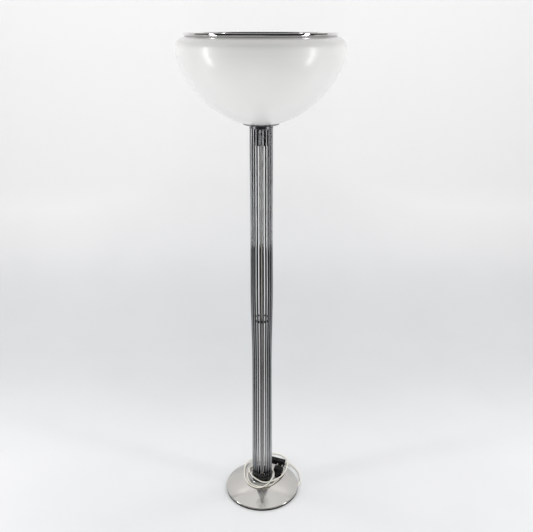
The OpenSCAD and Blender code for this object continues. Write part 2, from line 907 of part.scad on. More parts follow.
module switch_reliefs() {
    color("ivory")
        at_switch()
            for (x = [-1, 1])
                translate([x * (switch_l / 2 - 3), 0, switch_split])
                    rotate([0, 90 * x, 0])
                        difference() {
                            union() {
                                cylinder(d = lead_d + 3 - fit_gap, h = 3);
                                translate([0, 0, 3])
                                    cylinder(d1 = lead_d + 2.5, d2 = lead_d + 1.2, h = relief_l);
                            }
                            translate([0, 0, -1])
                                cylinder(d = lead_d + 2 * fit_gap, h = relief_l + 5);
                        }
}

// ---------- plug ----------

module at_plug() {
    translate(plug_tip)
        rotate(plug_turn)
            rotate([plug_roll, -plug_pitch, 0])
                rotate([0, 90, 0])
                    rotate(90)
                        children();
}

// a slab with half-round narrow sides
module plug_slab(w, t, z, h) {
    for (x = [-1, 1])
        translate([x * (w - t) / 2, 0, z])
            cylinder(d = t, h = h, $fn = 32);
}

module plug_body() {
    face_z = plug_relief_l + plug_l;
    color([0.05, 0.05, 0.05])
        at_plug()
            difference() {
                union() {
                    hull() {
                        plug_slab(plug_w - 2, plug_t - 2, face_z - 1, 1);
                        plug_slab(plug_w, plug_t, face_z - 14, 12);
                        plug_slab(16, 13, plug_relief_l + 2, 1);
                        translate([0, 0, plug_relief_l])
                            cylinder(d = 11, h = 1, $fn = 32);
                    }
                    cylinder(d1 = lead_d + 1.2, d2 = 9, h = plug_relief_l + 1);
                }
                translate([0, 0, -1])
                    cylinder(d = lead_d + fit_gap, h = 16);
                for (x = [-1, 1])
                    translate([x * pin_pitch / 2, 0, face_z - 12])
                        cylinder(d = pin_d + eps, h = 20, $fn = 32);
            }
}

module plug_pins() {
    color("silver")
        at_plug()
            for (x = [-1, 1])
                translate([x * pin_pitch / 2, 0, plug_relief_l + plug_l - 12]) {
                    cylinder(d = pin_d, h = 12 + pin_l - 1.6, $fn = 32);
                    translate([0, 0, 12 + pin_l - 1.6])
                        cylinder(d1 = pin_d, d2 = pin_d - 2, h = 1.6, $fn = 32);
                }
}

for (i = [1:rod_count])
    rod(i);
felt_ring();
base_cover();
cover_screws();
base_weight();
base_dome();
cord_grommet();
foot_tube();
foot_nut();
foot_flange();
rod_seat();
rod_screws_lower();
spacer_disc();
spacer_ring();
inner_lead();
head_sleeve();
head_plate();
rod_screws_upper();
gallery_dish();
holder_tube();
shade_gasket();
bowl_shade();
clamp_disc();
clamp_nut();
lamp_holder();
holder_contacts();
bulb_cap();
bulb_glass();
bulb_tip();
rim_ring();
base_lead();
switch_base();
switch_cover();
switch_rocker();
switch_reliefs();
mains_lead();
plug_body();
plug_pins();
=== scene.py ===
# %% [markdown]
# # A torchiere floor lamp
# An opal bowl stands on a cage of chromed rods, which rise from a domed, chromed base.
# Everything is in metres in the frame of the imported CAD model: +Z up, the floor at z = 0,
# the column on the Z axis and the viewer on the -Y side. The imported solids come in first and
# stay fixed. Each of them either stays and only gets a finish, or a finer mesh of the same
# overall size stands in for it.

# %% Load the frame
import json
import math

import bmesh
import bpy
from mathutils import Euler, Matrix, Vector


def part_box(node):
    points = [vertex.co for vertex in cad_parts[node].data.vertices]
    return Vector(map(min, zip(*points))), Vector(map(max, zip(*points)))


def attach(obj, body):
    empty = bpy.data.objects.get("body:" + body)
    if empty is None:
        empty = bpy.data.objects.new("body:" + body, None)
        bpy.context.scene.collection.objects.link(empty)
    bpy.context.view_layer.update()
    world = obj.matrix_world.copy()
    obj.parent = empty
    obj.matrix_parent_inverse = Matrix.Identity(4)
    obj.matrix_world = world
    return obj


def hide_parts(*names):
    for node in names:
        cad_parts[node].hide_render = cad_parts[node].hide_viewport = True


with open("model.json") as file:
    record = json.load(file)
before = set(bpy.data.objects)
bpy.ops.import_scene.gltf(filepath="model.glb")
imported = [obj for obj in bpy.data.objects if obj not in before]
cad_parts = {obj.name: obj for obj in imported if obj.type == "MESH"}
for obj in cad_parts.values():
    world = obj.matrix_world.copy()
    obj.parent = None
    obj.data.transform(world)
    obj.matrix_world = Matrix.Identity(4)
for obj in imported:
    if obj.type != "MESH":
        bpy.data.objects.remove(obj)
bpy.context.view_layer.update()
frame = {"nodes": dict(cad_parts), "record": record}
nodes = frame["nodes"]

# %% [markdown]
# ## Sizes that several pieces share
# Lengths are written in millimetres, as on a drawing, and multiplied by mm. They repeat the
# driving sizes of the CAD model. The heights at which most pieces sit come from the boxes of
# the CAD nodes instead, so those are written only once.

# %% Shared sizes
mm = 0.001
COLUMN_R, ROD_R, ROD_COUNT = 36.3 * mm, 3.2 * mm, 22
BASE_EDGE_Z = 8 * mm
LEAD_D = 5 * mm

bowl_low, bowl_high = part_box("bowl_shade")
rim_low, rim_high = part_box("rim_ring")
rod_low, rod_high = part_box("rod_01")
gallery_low, gallery_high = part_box("gallery_dish")
print("top of the lamp: %.3f m" % rim_high.z)

# %% [markdown]
# ## Camera
# One camera two metres in front of the lamp and a little above its rim, tilted down so that
# the base shows its dome and the rim shows as a narrow ring. The focal length and the sensor
# width belong together: only their ratio sets how much of the scene the frame holds.

# %% Camera
CAMERA_AT = Vector((0, -2.0155, 1.6759))
PITCH_DOWN, TURN_RIGHT = math.radians(20.8), math.radians(0.465)
FOCAL_MM, SENSOR_MM = 43.23, 36

camera = bpy.data.objects.new("camera", bpy.data.cameras.new("camera"))
camera.location = CAMERA_AT
camera.rotation_euler = Euler((math.pi / 2 - PITCH_DOWN, 0, -TURN_RIGHT))
camera.data.lens = FOCAL_MM
camera.data.sensor_width = SENSOR_MM
camera.data.dof.use_dof = False
bpy.context.collection.objects.link(camera)
bpy.context.scene.camera = camera
bpy.context.scene.view_settings.view_transform = "Standard"
bpy.context.scene.view_settings.look = "None"
print("camera tilted down by %.1f degrees" % math.degrees(PITCH_DOWN))

# %% [markdown]
# ## From points to a mesh
# Most pieces of a lamp are either turned on a lathe or moulded, and both come out of a
# bmesh. These helpers finish such a bmesh: they turn its faces outwards, make an object of
# it, and keep the edges sharp that are sharp on the real piece.

# %% Mesh helpers
def add_object(name, mesh):
    for polygon in mesh.polygons:
        polygon.use_smooth = True
    piece = bpy.data.objects.new(name, mesh)
    bpy.context.collection.objects.link(piece)
    return piece


def from_bmesh(name, bm):
    bmesh.ops.recalc_face_normals(bm, faces=bm.faces)
    mesh = bpy.data.meshes.new(name)
    bm.to_mesh(mesh)
    bm.free()
    return add_object(name, mesh)


def sharpen(piece, degrees=32):
    """Edges sharper than this stay sharp under smooth shading."""
    mesh = piece.data
    bm = bmesh.new()
    bm.from_mesh(mesh)
    for edge in bm.edges:
        edge.smooth = edge.calc_face_angle(0) < math.radians(degrees)
    bm.to_mesh(mesh)
    bm.free()
    return piece


def full_turn(count):
    """The angles of count points that are spread evenly round a circle."""
    return [2 * math.pi * k / count for k in range(count)]


def loft(name, rings, degrees=40):
    """A closed skin through rings of points, with a flat cap at each end."""
    bm = bmesh.new()
    loops = [[bm.verts.new(point) for point in ring] for ring in rings]
    for low, high in zip(loops, loops[1:]):
        for k in range(len(low)):
            after = (k + 1) % len(low)
            bm.faces.new((low[k], low[after], high[after], high[k]))
    bm.faces.new(loops[0])
    bm.faces.new(loops[-1])
    return sharpen(from_bmesh(name, bm), degrees)

# %% [markdown]
# ## Smooth routes and round tubes
# A lead has a few places that it must pass and a smooth bend between them. A Catmull-Rom
# curve finds its own direction at each point, where a Bezier curve needs two handles there.
# The tube carries its cross direction along from ring to ring, so it doesn't twist.

# %% Route helpers
def catmull_rom(points, u):
    """The point at u, counted in stretches, on the smooth curve through the points."""
    last = len(points) - 1
    i = min(int(u), last - 1)
    t = u - i
    p1, p2 = points[i], points[i + 1]
    p0 = points[i - 1] if i > 0 else 2 * p1 - p2
    p3 = points[i + 2] if i + 2 <= last else 2 * p2 - p1
    return 0.5 * (2 * p1 + (p2 - p0) * t + (2 * p0 - 5 * p1 + 4 * p2 - p3) * t * t
                  + (3 * p1 - p0 - 3 * p2 + p3) * t ** 3)


def smooth_path(points, parts):
    steps = (len(points) - 1) * parts
    return [catmull_rom(points, k / parts) for k in range(steps + 1)]


def path_length(path):
    return sum((b - a).length for a, b in zip(path, path[1:]))


def tube(name, path, radius, sides=20):
    """A round tube with flat ends along a path."""
    rings, side = [], None
    for i, point in enumerate(path):
        way = (path[min(i + 1, len(path) - 1)] - path[max(i - 1, 0)]).normalized()
        if side is None:
            side = Vector((0, 0, 1)) if abs(way.z) < 0.9 else Vector((0, 1, 0))
        side = (side - side.dot(way) * way).normalized()
        other = way.cross(side)
        rings.append([point + radius * (math.cos(t) * side + math.sin(t) * other)
                      for t in full_turn(sides)])
    return loft(name, rings, 60)

# %% [markdown]
# ## The leads
# A short lead runs from the base to the switch. The long one runs from the switch to the
# plug: one turn round the foot, a second one against the rods, back over the floor and round
# again. A physics run would let the coil settle in its own way and not in this one, so the
# points are those that were chosen for the CAD model, in millimetres.

# %% The leads
BASE_ROUTE = [
    (142, 4, 6.2), (145, 10, 6.2), (148, 20, 4), (148.5, 34, 3), (147, 50, 3),
    (145, 66, 3), (141, 81, 3), (134, 95, 3.5), (125, 107, 5.5), (112, 118, 8),
    (88, 128, 8),
]
MAINS_ROUTE = [
    (40, 148, 8), (16, 158, 8), (-12, 168, 4.5), (-44, 150, 6), (-62, 114, 21),
    (-68, 74, 31), (-69, 36, 36.5), (-65, -4, 39), (-48, -40, 39.5), (-14, -60, 40.5),
    (18, -53, 50), (36, -33, 60.5), (44.5, 3, 56), (36, 38, 51.5), (12, 73, 39.5),
    (-24, 77, 39), (-50, 46, 47), (-47, 8, 58.5), (-33, -28, 64), (2, -44.5, 54),
    (36, -36.5, 52.5), (68, -4, 44), (88, 38, 33), (99, 86, 23), (103, 130, 14),
    (90, 172, 3.5), (58, 192, 3.5), (20, 188, 5), (-6, 162, 11), (-23, 125, 21),
    (-39, 80, 33), (-52, 38, 39.5), (-54.5, -3, 41), (-41, -37, 41), (-12.5, -54, 41),
    (20.5, -51, 41), (42, -36, 41), (49, -22, 41.5), (52, -10, 43), (55, 2, 44.5),
]
STEPS_PER_POINT = 8


def make_lead(name, node, route):
    path = smooth_path([mm * Vector(point) for point in route], STEPS_PER_POINT)
    lead = tube(name, path, LEAD_D / 2)
    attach(lead, "lamp")
    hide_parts(node)
    return lead, path


base_lead, base_path = make_lead("lead_to_switch", "base_lead", BASE_ROUTE)
mains_lead, mains_path = make_lead("lead_to_plug", "mains_lead", MAINS_ROUTE)
base_length, mains_length = path_length(base_path), path_length(mains_path)
print("leads: %.3f m and %.3f m" % (base_length, mains_length))

# %% [markdown]
# ## Turned pieces
# Bowl, rim, saucer, flange, dome and bulb are all round about one axis. Each is a drawn
# half outline that is turned about Z. Blender's Screw modifier does the same, but here the
# points on the axis become one vertex, so a closed tip has no hole and no doubled points.

# %% Lathe helpers
def arc(cx, cz, r, a0, a1, steps):
    angles = [math.radians(a0 + (a1 - a0) * i / steps) for i in range(steps + 1)]
    return [(cx + r * math.cos(a), cz + r * math.sin(a)) for a in angles]


def lathe_into(bm, profile, segments, closed=True):
    """Turns (radius, height) points about the Z axis, and returns the new vertices."""
    rings = []
    for r, z in profile:
        if r < 0.001 * mm:
            rings.append([bm.verts.new((0, 0, z))] * segments)
        else:
            rings.append([bm.verts.new((r * math.cos(t), r * math.sin(t), z))
                          for t in full_turn(segments)])
    count = len(rings)
    for i in range(count if closed else count - 1):
        low, high = rings[i], rings[(i + 1) % count]
        for k in range(segments):
            after = (k + 1) % segments
            corners = list(dict.fromkeys([low[k], low[after], high[after], high[k]]))
            if len(corners) > 2:
                bm.faces.new(corners)
    return list(dict.fromkeys(vertex for ring in rings for vertex in ring))


def lathe(name, profile, lift=0.0, segments=192, closed=True, degrees=32):
    """The profile, lifted by lift and turned into a piece."""
    bm = bmesh.new()
    lathe_into(bm, [(r, z + lift) for r, z in profile], segments, closed)
    return sharpen(from_bmesh(name, bm), degrees)

# %% [markdown]
# ## Arithmetic for shaders
# A finish is a formula: a smear here, a darker edge there. Written as nodes by hand such a
# formula takes a line for each node and each link. Val wraps a socket, so that an expression
# in Python adds the Math nodes, and add_node makes every other node: settings first, because
# some of them change which sockets a node has, and then its sockets.

# %% Shader arithmetic
def add_node(tree, kind, inputs=None, **settings):
    """A node of any kind: inputs takes numbers, vectors, sockets or Vals."""
    node = tree.nodes.new(kind)
    for key, value in settings.items():
        setattr(node, key, value)
    for key, value in (inputs or {}).items():
        source = value.socket if isinstance(value, Val) else value
        if isinstance(source, bpy.types.NodeSocket):
            tree.links.new(source, node.inputs[key])
        else:
            node.inputs[key].default_value = source
    return node


class Val:
    """A float socket with arithmetic."""

    def __init__(self, tree, socket):
        self.tree, self.socket = tree, socket

    def reckon(self, operation, *values):
        """A Math node on the given values, and on self where it is among them."""
        inputs = dict(enumerate(values or (self,)))
        return Val(self.tree, add_node(
            self.tree, "ShaderNodeMath", inputs, operation=operation).outputs[0])

    def __add__(self, other):
        return self.reckon("ADD", self, other)

    def __sub__(self, other):
        return self.reckon("SUBTRACT", self, other)

    def __mul__(self, other):
        return self.reckon("MULTIPLY", self, other)

    def __radd__(self, other):
        return self.reckon("ADD", other, self)

    def __rsub__(self, other):
        return self.reckon("SUBTRACT", other, self)

    def __rmul__(self, other):
        return self.reckon("MULTIPLY", other, self)

    def __neg__(self):
        return self.reckon("MULTIPLY", self, -1)

    def __abs__(self):
        return self.reckon("ABSOLUTE")

    def ramp(self, low, high):
        """0 below low and 1 above high, smooth between."""
        inputs = {"Value": self, "From Min": low, "From Max": high}
        node = add_node(self.tree, "ShaderNodeMapRange", inputs,
                        interpolation_type="SMOOTHSTEP")
        return Val(self.tree, node.outputs["Result"])

# %% [markdown]
# ## One material at a time
# Look builds a material round Blender's Principled shader. What is the same all over the
# surface goes on the shader's own sockets. What changes goes through vary, mostly as noise on
# the object's own coordinates, so that the pattern stays put when the piece moves.

# %% Material helper
class Look:
    """A Principled material: constants go on the shader's own sockets."""

    def __init__(self, name, **constants):
        self.material = bpy.data.materials.new(name)
        self.material.use_nodes = True
        self.tree = self.material.node_tree
        self.shader = self.tree.nodes["Principled BSDF"]
        self.place = self.node("ShaderNodeTexCoord").outputs["Object"]
        for key, value in constants.items():
            socket = self.shader.inputs[key.replace("_", " ")]
            socket.default_value = (*value, 1) if isinstance(value, tuple) else value

    def node(self, kind, inputs=None, **settings):
        return add_node(self.tree, kind, inputs, **settings)

    def stretch(self, x, y, z):
        """The object coordinates, stretched by x, y and z."""
        inputs = {0: self.place, 1: (x, y, z)}
        return self.node("ShaderNodeVectorMath", inputs, operation="MULTIPLY").outputs[0]

    def noise(self, scale, detail=3.0, place=None):
        inputs = {"Vector": place or self.place, "Scale": scale, "Detail": detail}
        return Val(self.tree, self.node("ShaderNodeTexNoise", inputs).outputs["Fac"])

    def axis(self, index):
        split = self.node("ShaderNodeSeparateXYZ", {0: self.place})
        return Val(self.tree, split.outputs[index])

    def mix(self, factor, low, high):
        """The colour low where factor is 0 and high where it is 1."""
        inputs = {0: factor}
        for key, colour in ((6, low), (7, high)):
            inputs[key] = (*colour, 1) if isinstance(colour, tuple) else colour
        return self.node("ShaderNodeMix", inputs, data_type="RGBA").outputs[2]

    def vary(self, key, value):
        socket = value.socket if isinstance(value, Val) else value
        self.tree.links.new(socket, self.shader.inputs[key])

    def speckle(self, scale, low, high, detail=3.0):
        """A colour that wanders between two close tones."""
        self.vary("Base Color", self.mix(self.noise(scale, detail), low, high))

    def roughen(self, lowest, spread, scale, detail=3.0):
        self.vary("Roughness", lowest + spread * self.noise(scale, detail))

    def grain(self, scale, detail, strength, height):
        inputs = {"Height": self.noise(scale, detail), "Strength": strength,
                  "Distance": height}
        self.vary("Normal", self.node("ShaderNodeBump", inputs).outputs["Normal"])


def paint(piece, look):
    piece.data.materials.clear()
    piece.data.materials.append(look.material)
    for polygon in piece.data.polygons:
        polygon.material_index = 0


def finish_piece(piece, look, body, slot, *replaced):
    """Gives a piece its look and its body, and hides the CAD nodes that it stands for; slot is
    not used.
    """
    paint(piece, look)
    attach(piece, body)
    if replaced:
        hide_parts(*replaced)

# %% [markdown]
# ## Chrome
# Bright plate has hardly a colour of its own: it shows the room. What makes it look real is
# how sharp that picture is, so noise sets the roughness, in wide smears as from wiping and
# in fine hairlines up and down the piece. The tints differ more than real plate does, as
# painted light and shade: the rim's lighter tint is painted light, and the darker ones are
# painted shade for pieces that see less light where they sit, such as the saucer under the
# bowl and the head plate under the saucer.

# %% Chrome
def chrome(name, smear, low, high, tint=None):
    """Bright plate; a piece without a tint gets its colour from nodes of its own."""
    look = Look(name, Metallic=1.0, **({"Base_Color": tint} if tint else {}))
    smears = look.noise(smear, 4).ramp(0.35, 0.75)
    hairs = look.noise(260, 2, look.stretch(1, 1, 0.05)).ramp(0.55, 0.8)
    look.vary("Roughness", low + (high - low) * smears + 0.02 * hairs)
    look.grain(9, 2, 0.03, 0.4 * mm)
    return look


trim_chrome = chrome("chrome_trim", 25, 0.05, 0.10, (0.56, 0.56, 0.57))
# Painted light: the rim's chrome has a lighter tint than the trim's.
lit_rim_chrome = chrome("chrome_rim", 25, 0.05, 0.10, (0.84, 0.835, 0.825))
# Painted shade: the saucer's chrome has a darker tint than the trim's.
shaded_saucer_chrome = chrome("chrome_saucer", 25, 0.05, 0.09, (0.22, 0.22, 0.23))

# Painted shade: the head plate under the saucer gets a dark chrome, rougher than the trim.
shaded_head_chrome = Look("chrome_head", Metallic=1.0)
shaded_head_chrome.speckle(60, (0.16, 0.16, 0.17), (0.22, 0.22, 0.23))
shaded_head_chrome.roughen(0.26, 0.1, 90)
print("chrome:", trim_chrome.material.name, lit_rim_chrome.material.name,
      shaded_saucer_chrome.material.name, shaded_head_chrome.material.name)

# %% [markdown]
# ## Chrome of the rods and of the dome
# Between the rods light hardly gets in, and the dome's edge turns under into its own shadow.
# The plain room of this scene is paler than a real one, so these places would come out too
# light. The plate itself is therefore painted darker on the sides that face into the cage,
# towards the rods' feet and on the dome's last millimetres. The masks read the place on the
# piece and nothing else, so the paint stays where it is from every side.

# %% Rods and dome
INSIDE_R, OUTSIDE_R = COLUMN_R - 3.3 * mm, COLUMN_R - 0.8 * mm
ROD_FOOT_Z, ROD_CLEAR_Z = 50 * mm, 240 * mm
rod_chrome = chrome("chrome_rods", 11, 0.05, 0.10)
east, north = rod_chrome.axis(0), rod_chrome.axis(1)
outside_of_cage = (east * east + north * north).ramp(INSIDE_R ** 2, OUTSIDE_R ** 2)
# Painted shade: the plate colour darkens towards the rods' feet.
plate_with_foot_shade = rod_chrome.mix(rod_chrome.axis(2).ramp(ROD_FOOT_Z, ROD_CLEAR_Z),
                         (0.13, 0.132, 0.14), (0.50, 0.51, 0.525))
# Painted shade: the sides of the rods that face into the cage are painted near black.
rod_chrome.vary("Base Color", rod_chrome.mix(outside_of_cage, (0.02, 0.02, 0.022), plate_with_foot_shade))

dome_chrome = chrome("chrome_dome", 14, 0.08, 0.16)
above_edge = dome_chrome.axis(2).ramp(BASE_EDGE_Z - 1.2 * mm, BASE_EDGE_Z + 0.8 * mm)
dome_chrome.vary("Base Color", dome_chrome.mix(
    above_edge, (0.03, 0.027, 0.026), (0.59, 0.575, 0.55)))
print("rods darken inside a radius of %.1f mm" % (OUTSIDE_R / mm))

# %% [markdown]
# ## Opal acrylic
# The bowl is moulded from milky acrylic with a glossy skin. Real scattering inside the wall
# would be slow and noisy, and from outside an unlit bowl looks like a satin white body with
# a clear coat, so that is what it gets. At the neck, where the wall turns in under the metal
# ring, the colour is painted darker as painted shade, and the mask follows with a cube so
# that it starts gently.

# %% Opal acrylic
NECK_SHADE_FROM, NECK_SHADE_TO = 56.5 * mm, 17.5 * mm
opal = Look("opal_acrylic", Coat_Weight=0.7, Coat_Roughness=0.19, IOR=1.49)
# Painted shade: the bowl's colour darkens towards the neck under the ring.
neck = opal.axis(2).ramp(bowl_high.z - NECK_SHADE_FROM, bowl_high.z - NECK_SHADE_TO)
milk = opal.mix(opal.noise(3.5), (0.80, 0.80, 0.79), (0.84, 0.84, 0.825))
opal.vary("Base Color", opal.mix(neck * neck * neck, milk, (0.53, 0.525, 0.515)))
opal.roughen(0.30, 0.08, 40)
opal.grain(420, 2, 0.04, 0.2 * mm)
print("painted neck shade from %.3f m up" % (bowl_high.z - NECK_SHADE_FROM))

# %% [markdown]
# ## Blacks
# Five black things that must not look alike: baked enamel with a soft shine, the dull pan
# under the dome, the moulded plastic of switch and plug with its fine grain, felt, which has
# no shine but a faint sheen, and a soft washer. Each has its own roughness, and all but the
# pan have a grain.

# %% Blacks
black_enamel = Look("black_enamel", IOR=1.5)
black_enamel.speckle(60, (0.006, 0.006, 0.007), (0.014, 0.014, 0.014))
black_enamel.roughen(0.22, 0.12, 90)
black_enamel.grain(600, 2, 0.08, 0.2 * mm)

black_pan = Look("black_pan", IOR=1.3)
black_pan.speckle(80, (0.002, 0.002, 0.002), (0.006, 0.006, 0.006))
black_pan.roughen(0.6, 0.2, 120)

black_plastic = Look("black_plastic", IOR=1.25)
black_plastic.speckle(80, (0.004, 0.004, 0.0045), (0.010, 0.010, 0.011))
black_plastic.roughen(0.34, 0.14, 150)
black_plastic.grain(1600, 2, 0.12, 0.2 * mm)

felt = Look("felt", Roughness=0.95, Sheen_Weight=0.4)
felt.speckle(300, (0.012, 0.012, 0.012), (0.04, 0.04, 0.04), 4)
felt.grain(900, 5, 0.6, 0.6 * mm)

rubber = Look("soft_washer", Roughness=0.7)
rubber.speckle(90, (0.02, 0.02, 0.02), (0.05, 0.05, 0.05))
rubber.grain(800, 3, 0.2, 0.3 * mm)
print("blacks:", len([black_enamel, black_pan, black_plastic, felt, rubber]))

# %% [markdown]
# ## Ivory vinyl
# The leads and their sleeves are soft vinyl that has yellowed. Dirt sits on it in patches,
# not everywhere, so the noise goes through a ramp before it picks the colour.

# %% Ivory vinyl
vinyl = Look("ivory_vinyl", IOR=1.5)
grime = vinyl.noise(45, 4).ramp(0.45, 0.8)
vinyl.vary("Base Color", vinyl.mix(grime, (0.80, 0.775, 0.70), (0.70, 0.67, 0.59)))
vinyl.roughen(0.38, 0.12, 120)
vinyl.grain(900, 2, 0.08, 0.2 * mm)
print("vinyl:", vinyl.material.name)

# %% [markdown]
# ## Metals, porcelain and glass inside
# Apart from the plug's pins, these are seen only from above, through the bowl's mouth, or when
# the lamp is taken apart. They follow one recipe: two close tones, a roughness that wanders,
# and a grain where the surface is cast or plated roughly.

# %% Inner finishes
zinc = Look("zinc_steel", Metallic=1.0)
zinc.speckle(70, (0.52, 0.53, 0.54), (0.66, 0.66, 0.65), 4)
zinc.roughen(0.28, 0.2, 160)
zinc.grain(700, 3, 0.1, 0.2 * mm)

cast_iron = Look("cast_iron", Metallic=0.7)
cast_iron.speckle(50, (0.05, 0.05, 0.05), (0.12, 0.115, 0.11), 5)
cast_iron.roughen(0.6, 0.25, 90)
cast_iron.grain(240, 5, 0.5, 1 * mm)

brass = Look("brass", Metallic=1.0)
brass.speckle(60, (0.72, 0.52, 0.24), (0.62, 0.43, 0.19), 4)
brass.roughen(0.25, 0.2, 140)

cap_metal = Look("cap_aluminium", Metallic=1.0)
cap_metal.speckle(120, (0.70, 0.70, 0.71), (0.80, 0.80, 0.80))
cap_metal.roughen(0.22, 0.2, 200)

pin_metal = Look("nickel_pins", Metallic=1.0)
pin_metal.speckle(120, (0.34, 0.33, 0.31), (0.28, 0.27, 0.25))
pin_metal.roughen(0.15, 0.15, 300)

porcelain = Look("porcelain", Coat_Weight=0.4, Coat_Roughness=0.06)
porcelain.speckle(30, (0.82, 0.82, 0.80), (0.76, 0.76, 0.73))
porcelain.roughen(0.2, 0.1, 80)

opal_glass = Look("opal_glass", Coat_Weight=0.6, Coat_Roughness=0.03)
opal_glass.speckle(14, (0.88, 0.88, 0.86), (0.83, 0.83, 0.81))
opal_glass.roughen(0.12, 0.06, 50)
print("materials:", len(bpy.data.materials))

# %% [markdown]
# ## Painting the CAD nodes
# The record names a material slot for each node, and one table turns slots into looks. Three
# nodes depart from their slot's usual look: the pan, the spacer's ring and the head plate,
# which is duller than the polished trim and painted darker as painted shade under the saucer.
# The leads are made already and get their vinyl.

# %% Paint the nodes
LOOK_OF_SLOT = {
    "chrome": trim_chrome, "zinc_steel": zinc, "black_enamel": black_enamel,
    "black_plastic": black_plastic, "opal_acrylic": opal, "cast_weight": cast_iron,
    "felt": felt, "soft_washer": rubber, "ivory_vinyl": vinyl, "brass": brass,
    "porcelain": porcelain, "opal_glass": opal_glass, "cap_metal": cap_metal,
    "pin_metal": pin_metal,
}
for part in frame["record"]["subparts"]:
    paint(nodes[part["node"]], LOOK_OF_SLOT[part["material_slot"]])
paint(nodes["base_cover"], black_pan)
paint(nodes["spacer_ring"], black_pan)
paint(nodes["head_plate"], shaded_head_chrome)
for lead in (base_lead, mains_lead):
    paint(lead, vinyl)

# %% [markdown]
# ## Bowl
# The bowl is one moulded shell, so its wall has one thickness and no corner but the lip.
# Its outline has two laws: below the belly a superellipse, leaner than a true one, and above
# it a power curve that stays upright for long and then turns in to the neck. The inside
# follows the same laws, drawn in by the wall. A subdivided cage of a few points could do it
# too, but would meet neither the belly nor the neck exactly.

# %% Bowl
BOWL_R, NECK_R, BOWL_WALL = 255 * mm, 225 * mm, 4 * mm
BELLY_H, LOWER_FULLNESS, SHOULDER_FULLNESS = 214 * mm, 1.5, 4.3
BOWL_SEAT_R, BOWL_HOLE_R = 34 * mm, 5.5 * mm
RIM_T, LIP_REACH = 1.5 * mm, 0.5 * mm
LOWER_STEPS, SHOULDER_STEPS = 48, 24


def lower_curve(r, depth, a0, a1):
    """From the seat up to the belly: angle 90 is the axis and 0 the belly."""
    angles = [math.radians(a0 + (a1 - a0) * i / LOWER_STEPS) for i in range(LOWER_STEPS + 1)]
    return [(r * math.cos(a), BELLY_H - depth * math.sin(a) ** (2 / LOWER_FULLNESS))
            for a in angles]


def shoulder(inset, height):
    """From the belly up to the neck, at a distance of inset inside the outer wall."""
    return [(BOWL_R - inset - (BOWL_R - NECK_R) * (i / SHOULDER_STEPS) ** SHOULDER_FULLNESS,
             BELLY_H + height * i / SHOULDER_STEPS) for i in range(1, SHOULDER_STEPS + 1)]


bowl_h = bowl_high.z - bowl_low.z
rim_h = rim_high.z - rim_low.z
shoulder_h = bowl_h - (rim_h - RIM_T + LIP_REACH) - BELLY_H
bowl_depth = BELLY_H / (1 - (BOWL_SEAT_R / BOWL_R) ** 2) ** (1 / LOWER_FULLNESS)
seat_angle = math.degrees(math.acos(BOWL_SEAT_R / BOWL_R))
inner_depth = bowl_depth - BOWL_WALL
floor_angle = math.degrees(math.asin(
    ((BELLY_H - BOWL_WALL) / inner_depth) ** (LOWER_FULLNESS / 2)))
outside = lower_curve(BOWL_R, bowl_depth, seat_angle, 0) + shoulder(0, shoulder_h)
inside = (shoulder(BOWL_WALL, shoulder_h)[::-1]
          + lower_curve(BOWL_R - BOWL_WALL, inner_depth, 0, floor_angle))
lip = [(NECK_R, bowl_h), (NECK_R - BOWL_WALL, bowl_h)]
bowl = lathe("bowl", [(BOWL_HOLE_R, 0)] + outside + lip + inside + [(BOWL_HOLE_R, BOWL_WALL)],
             bowl_low.z, segments=256, degrees=50)
finish_piece(bowl, opal, "lamp", "opal_acrylic", "bowl_shade")
print("bowl: %d outline points" % (len(outside) + len(inside)))

# %% [markdown]
# ## Rim ring
# The ring is a strip of metal rolled to a channel that hugs the lip: its outer face slopes
# outwards as it rises, its top corner is round, and its inner edge rolls over into the bowl.
# Chrome shows each of these faces as a band of its own, which is why the ring isn't a plain
# bead. A curve with a bevel profile could make it, but the lathe keeps the inner channel too.

# %% Rim ring
RIM_W, RIM_BULGE, RIM_FIT = 10 * mm, 3.5 * mm, 0.2 * mm
RIM_WIDEST, RIM_CORNER = 9 * mm, 1 * mm
ROLL_W, ROLL_H, RIM_FOOT = 3.8 * mm, 6.5 * mm, 2 * mm
SKIRT_STEPS, ROLL_STEPS = 14, 10

rim_r = rim_high.x
rim_inner = rim_r - RIM_W
skirt = [(rim_r - RIM_BULGE * (i / SKIRT_STEPS) ** 3, RIM_WIDEST * (1 - i / SKIRT_STEPS))
         for i in range(SKIRT_STEPS, 0, -1)]
corner = arc(rim_r - RIM_CORNER, RIM_WIDEST, rim_h - RIM_WIDEST, 0, 90, 6)
roll = [(rim_inner + ROLL_W * (1 - math.sin(a)), rim_h - ROLL_H * (1 - math.cos(a)))
        for a in [math.radians(90 * i / ROLL_STEPS) for i in range(ROLL_STEPS + 1)]]
channel = [(rim_inner, RIM_FOOT), (rim_inner + RIM_T, RIM_FOOT),
           (rim_inner + RIM_T, rim_h - RIM_T), (NECK_R + RIM_FIT, rim_h - RIM_T),
           (NECK_R + RIM_FIT, 0)]
rim = lathe("rim", skirt + corner + roll + channel, rim_low.z, segments=256)
finish_piece(rim, lit_rim_chrome, "lamp", "chrome", "rim_ring")
print("rim: %.1f mm across" % (2 * rim_r / mm))

# %% [markdown]
# ## Saucer
# A shallow spun saucer carries the bowl. It is flat over the column and rises a little to its
# edge, which is folded round, so the outline ends in a half circle as thick as the sheet.

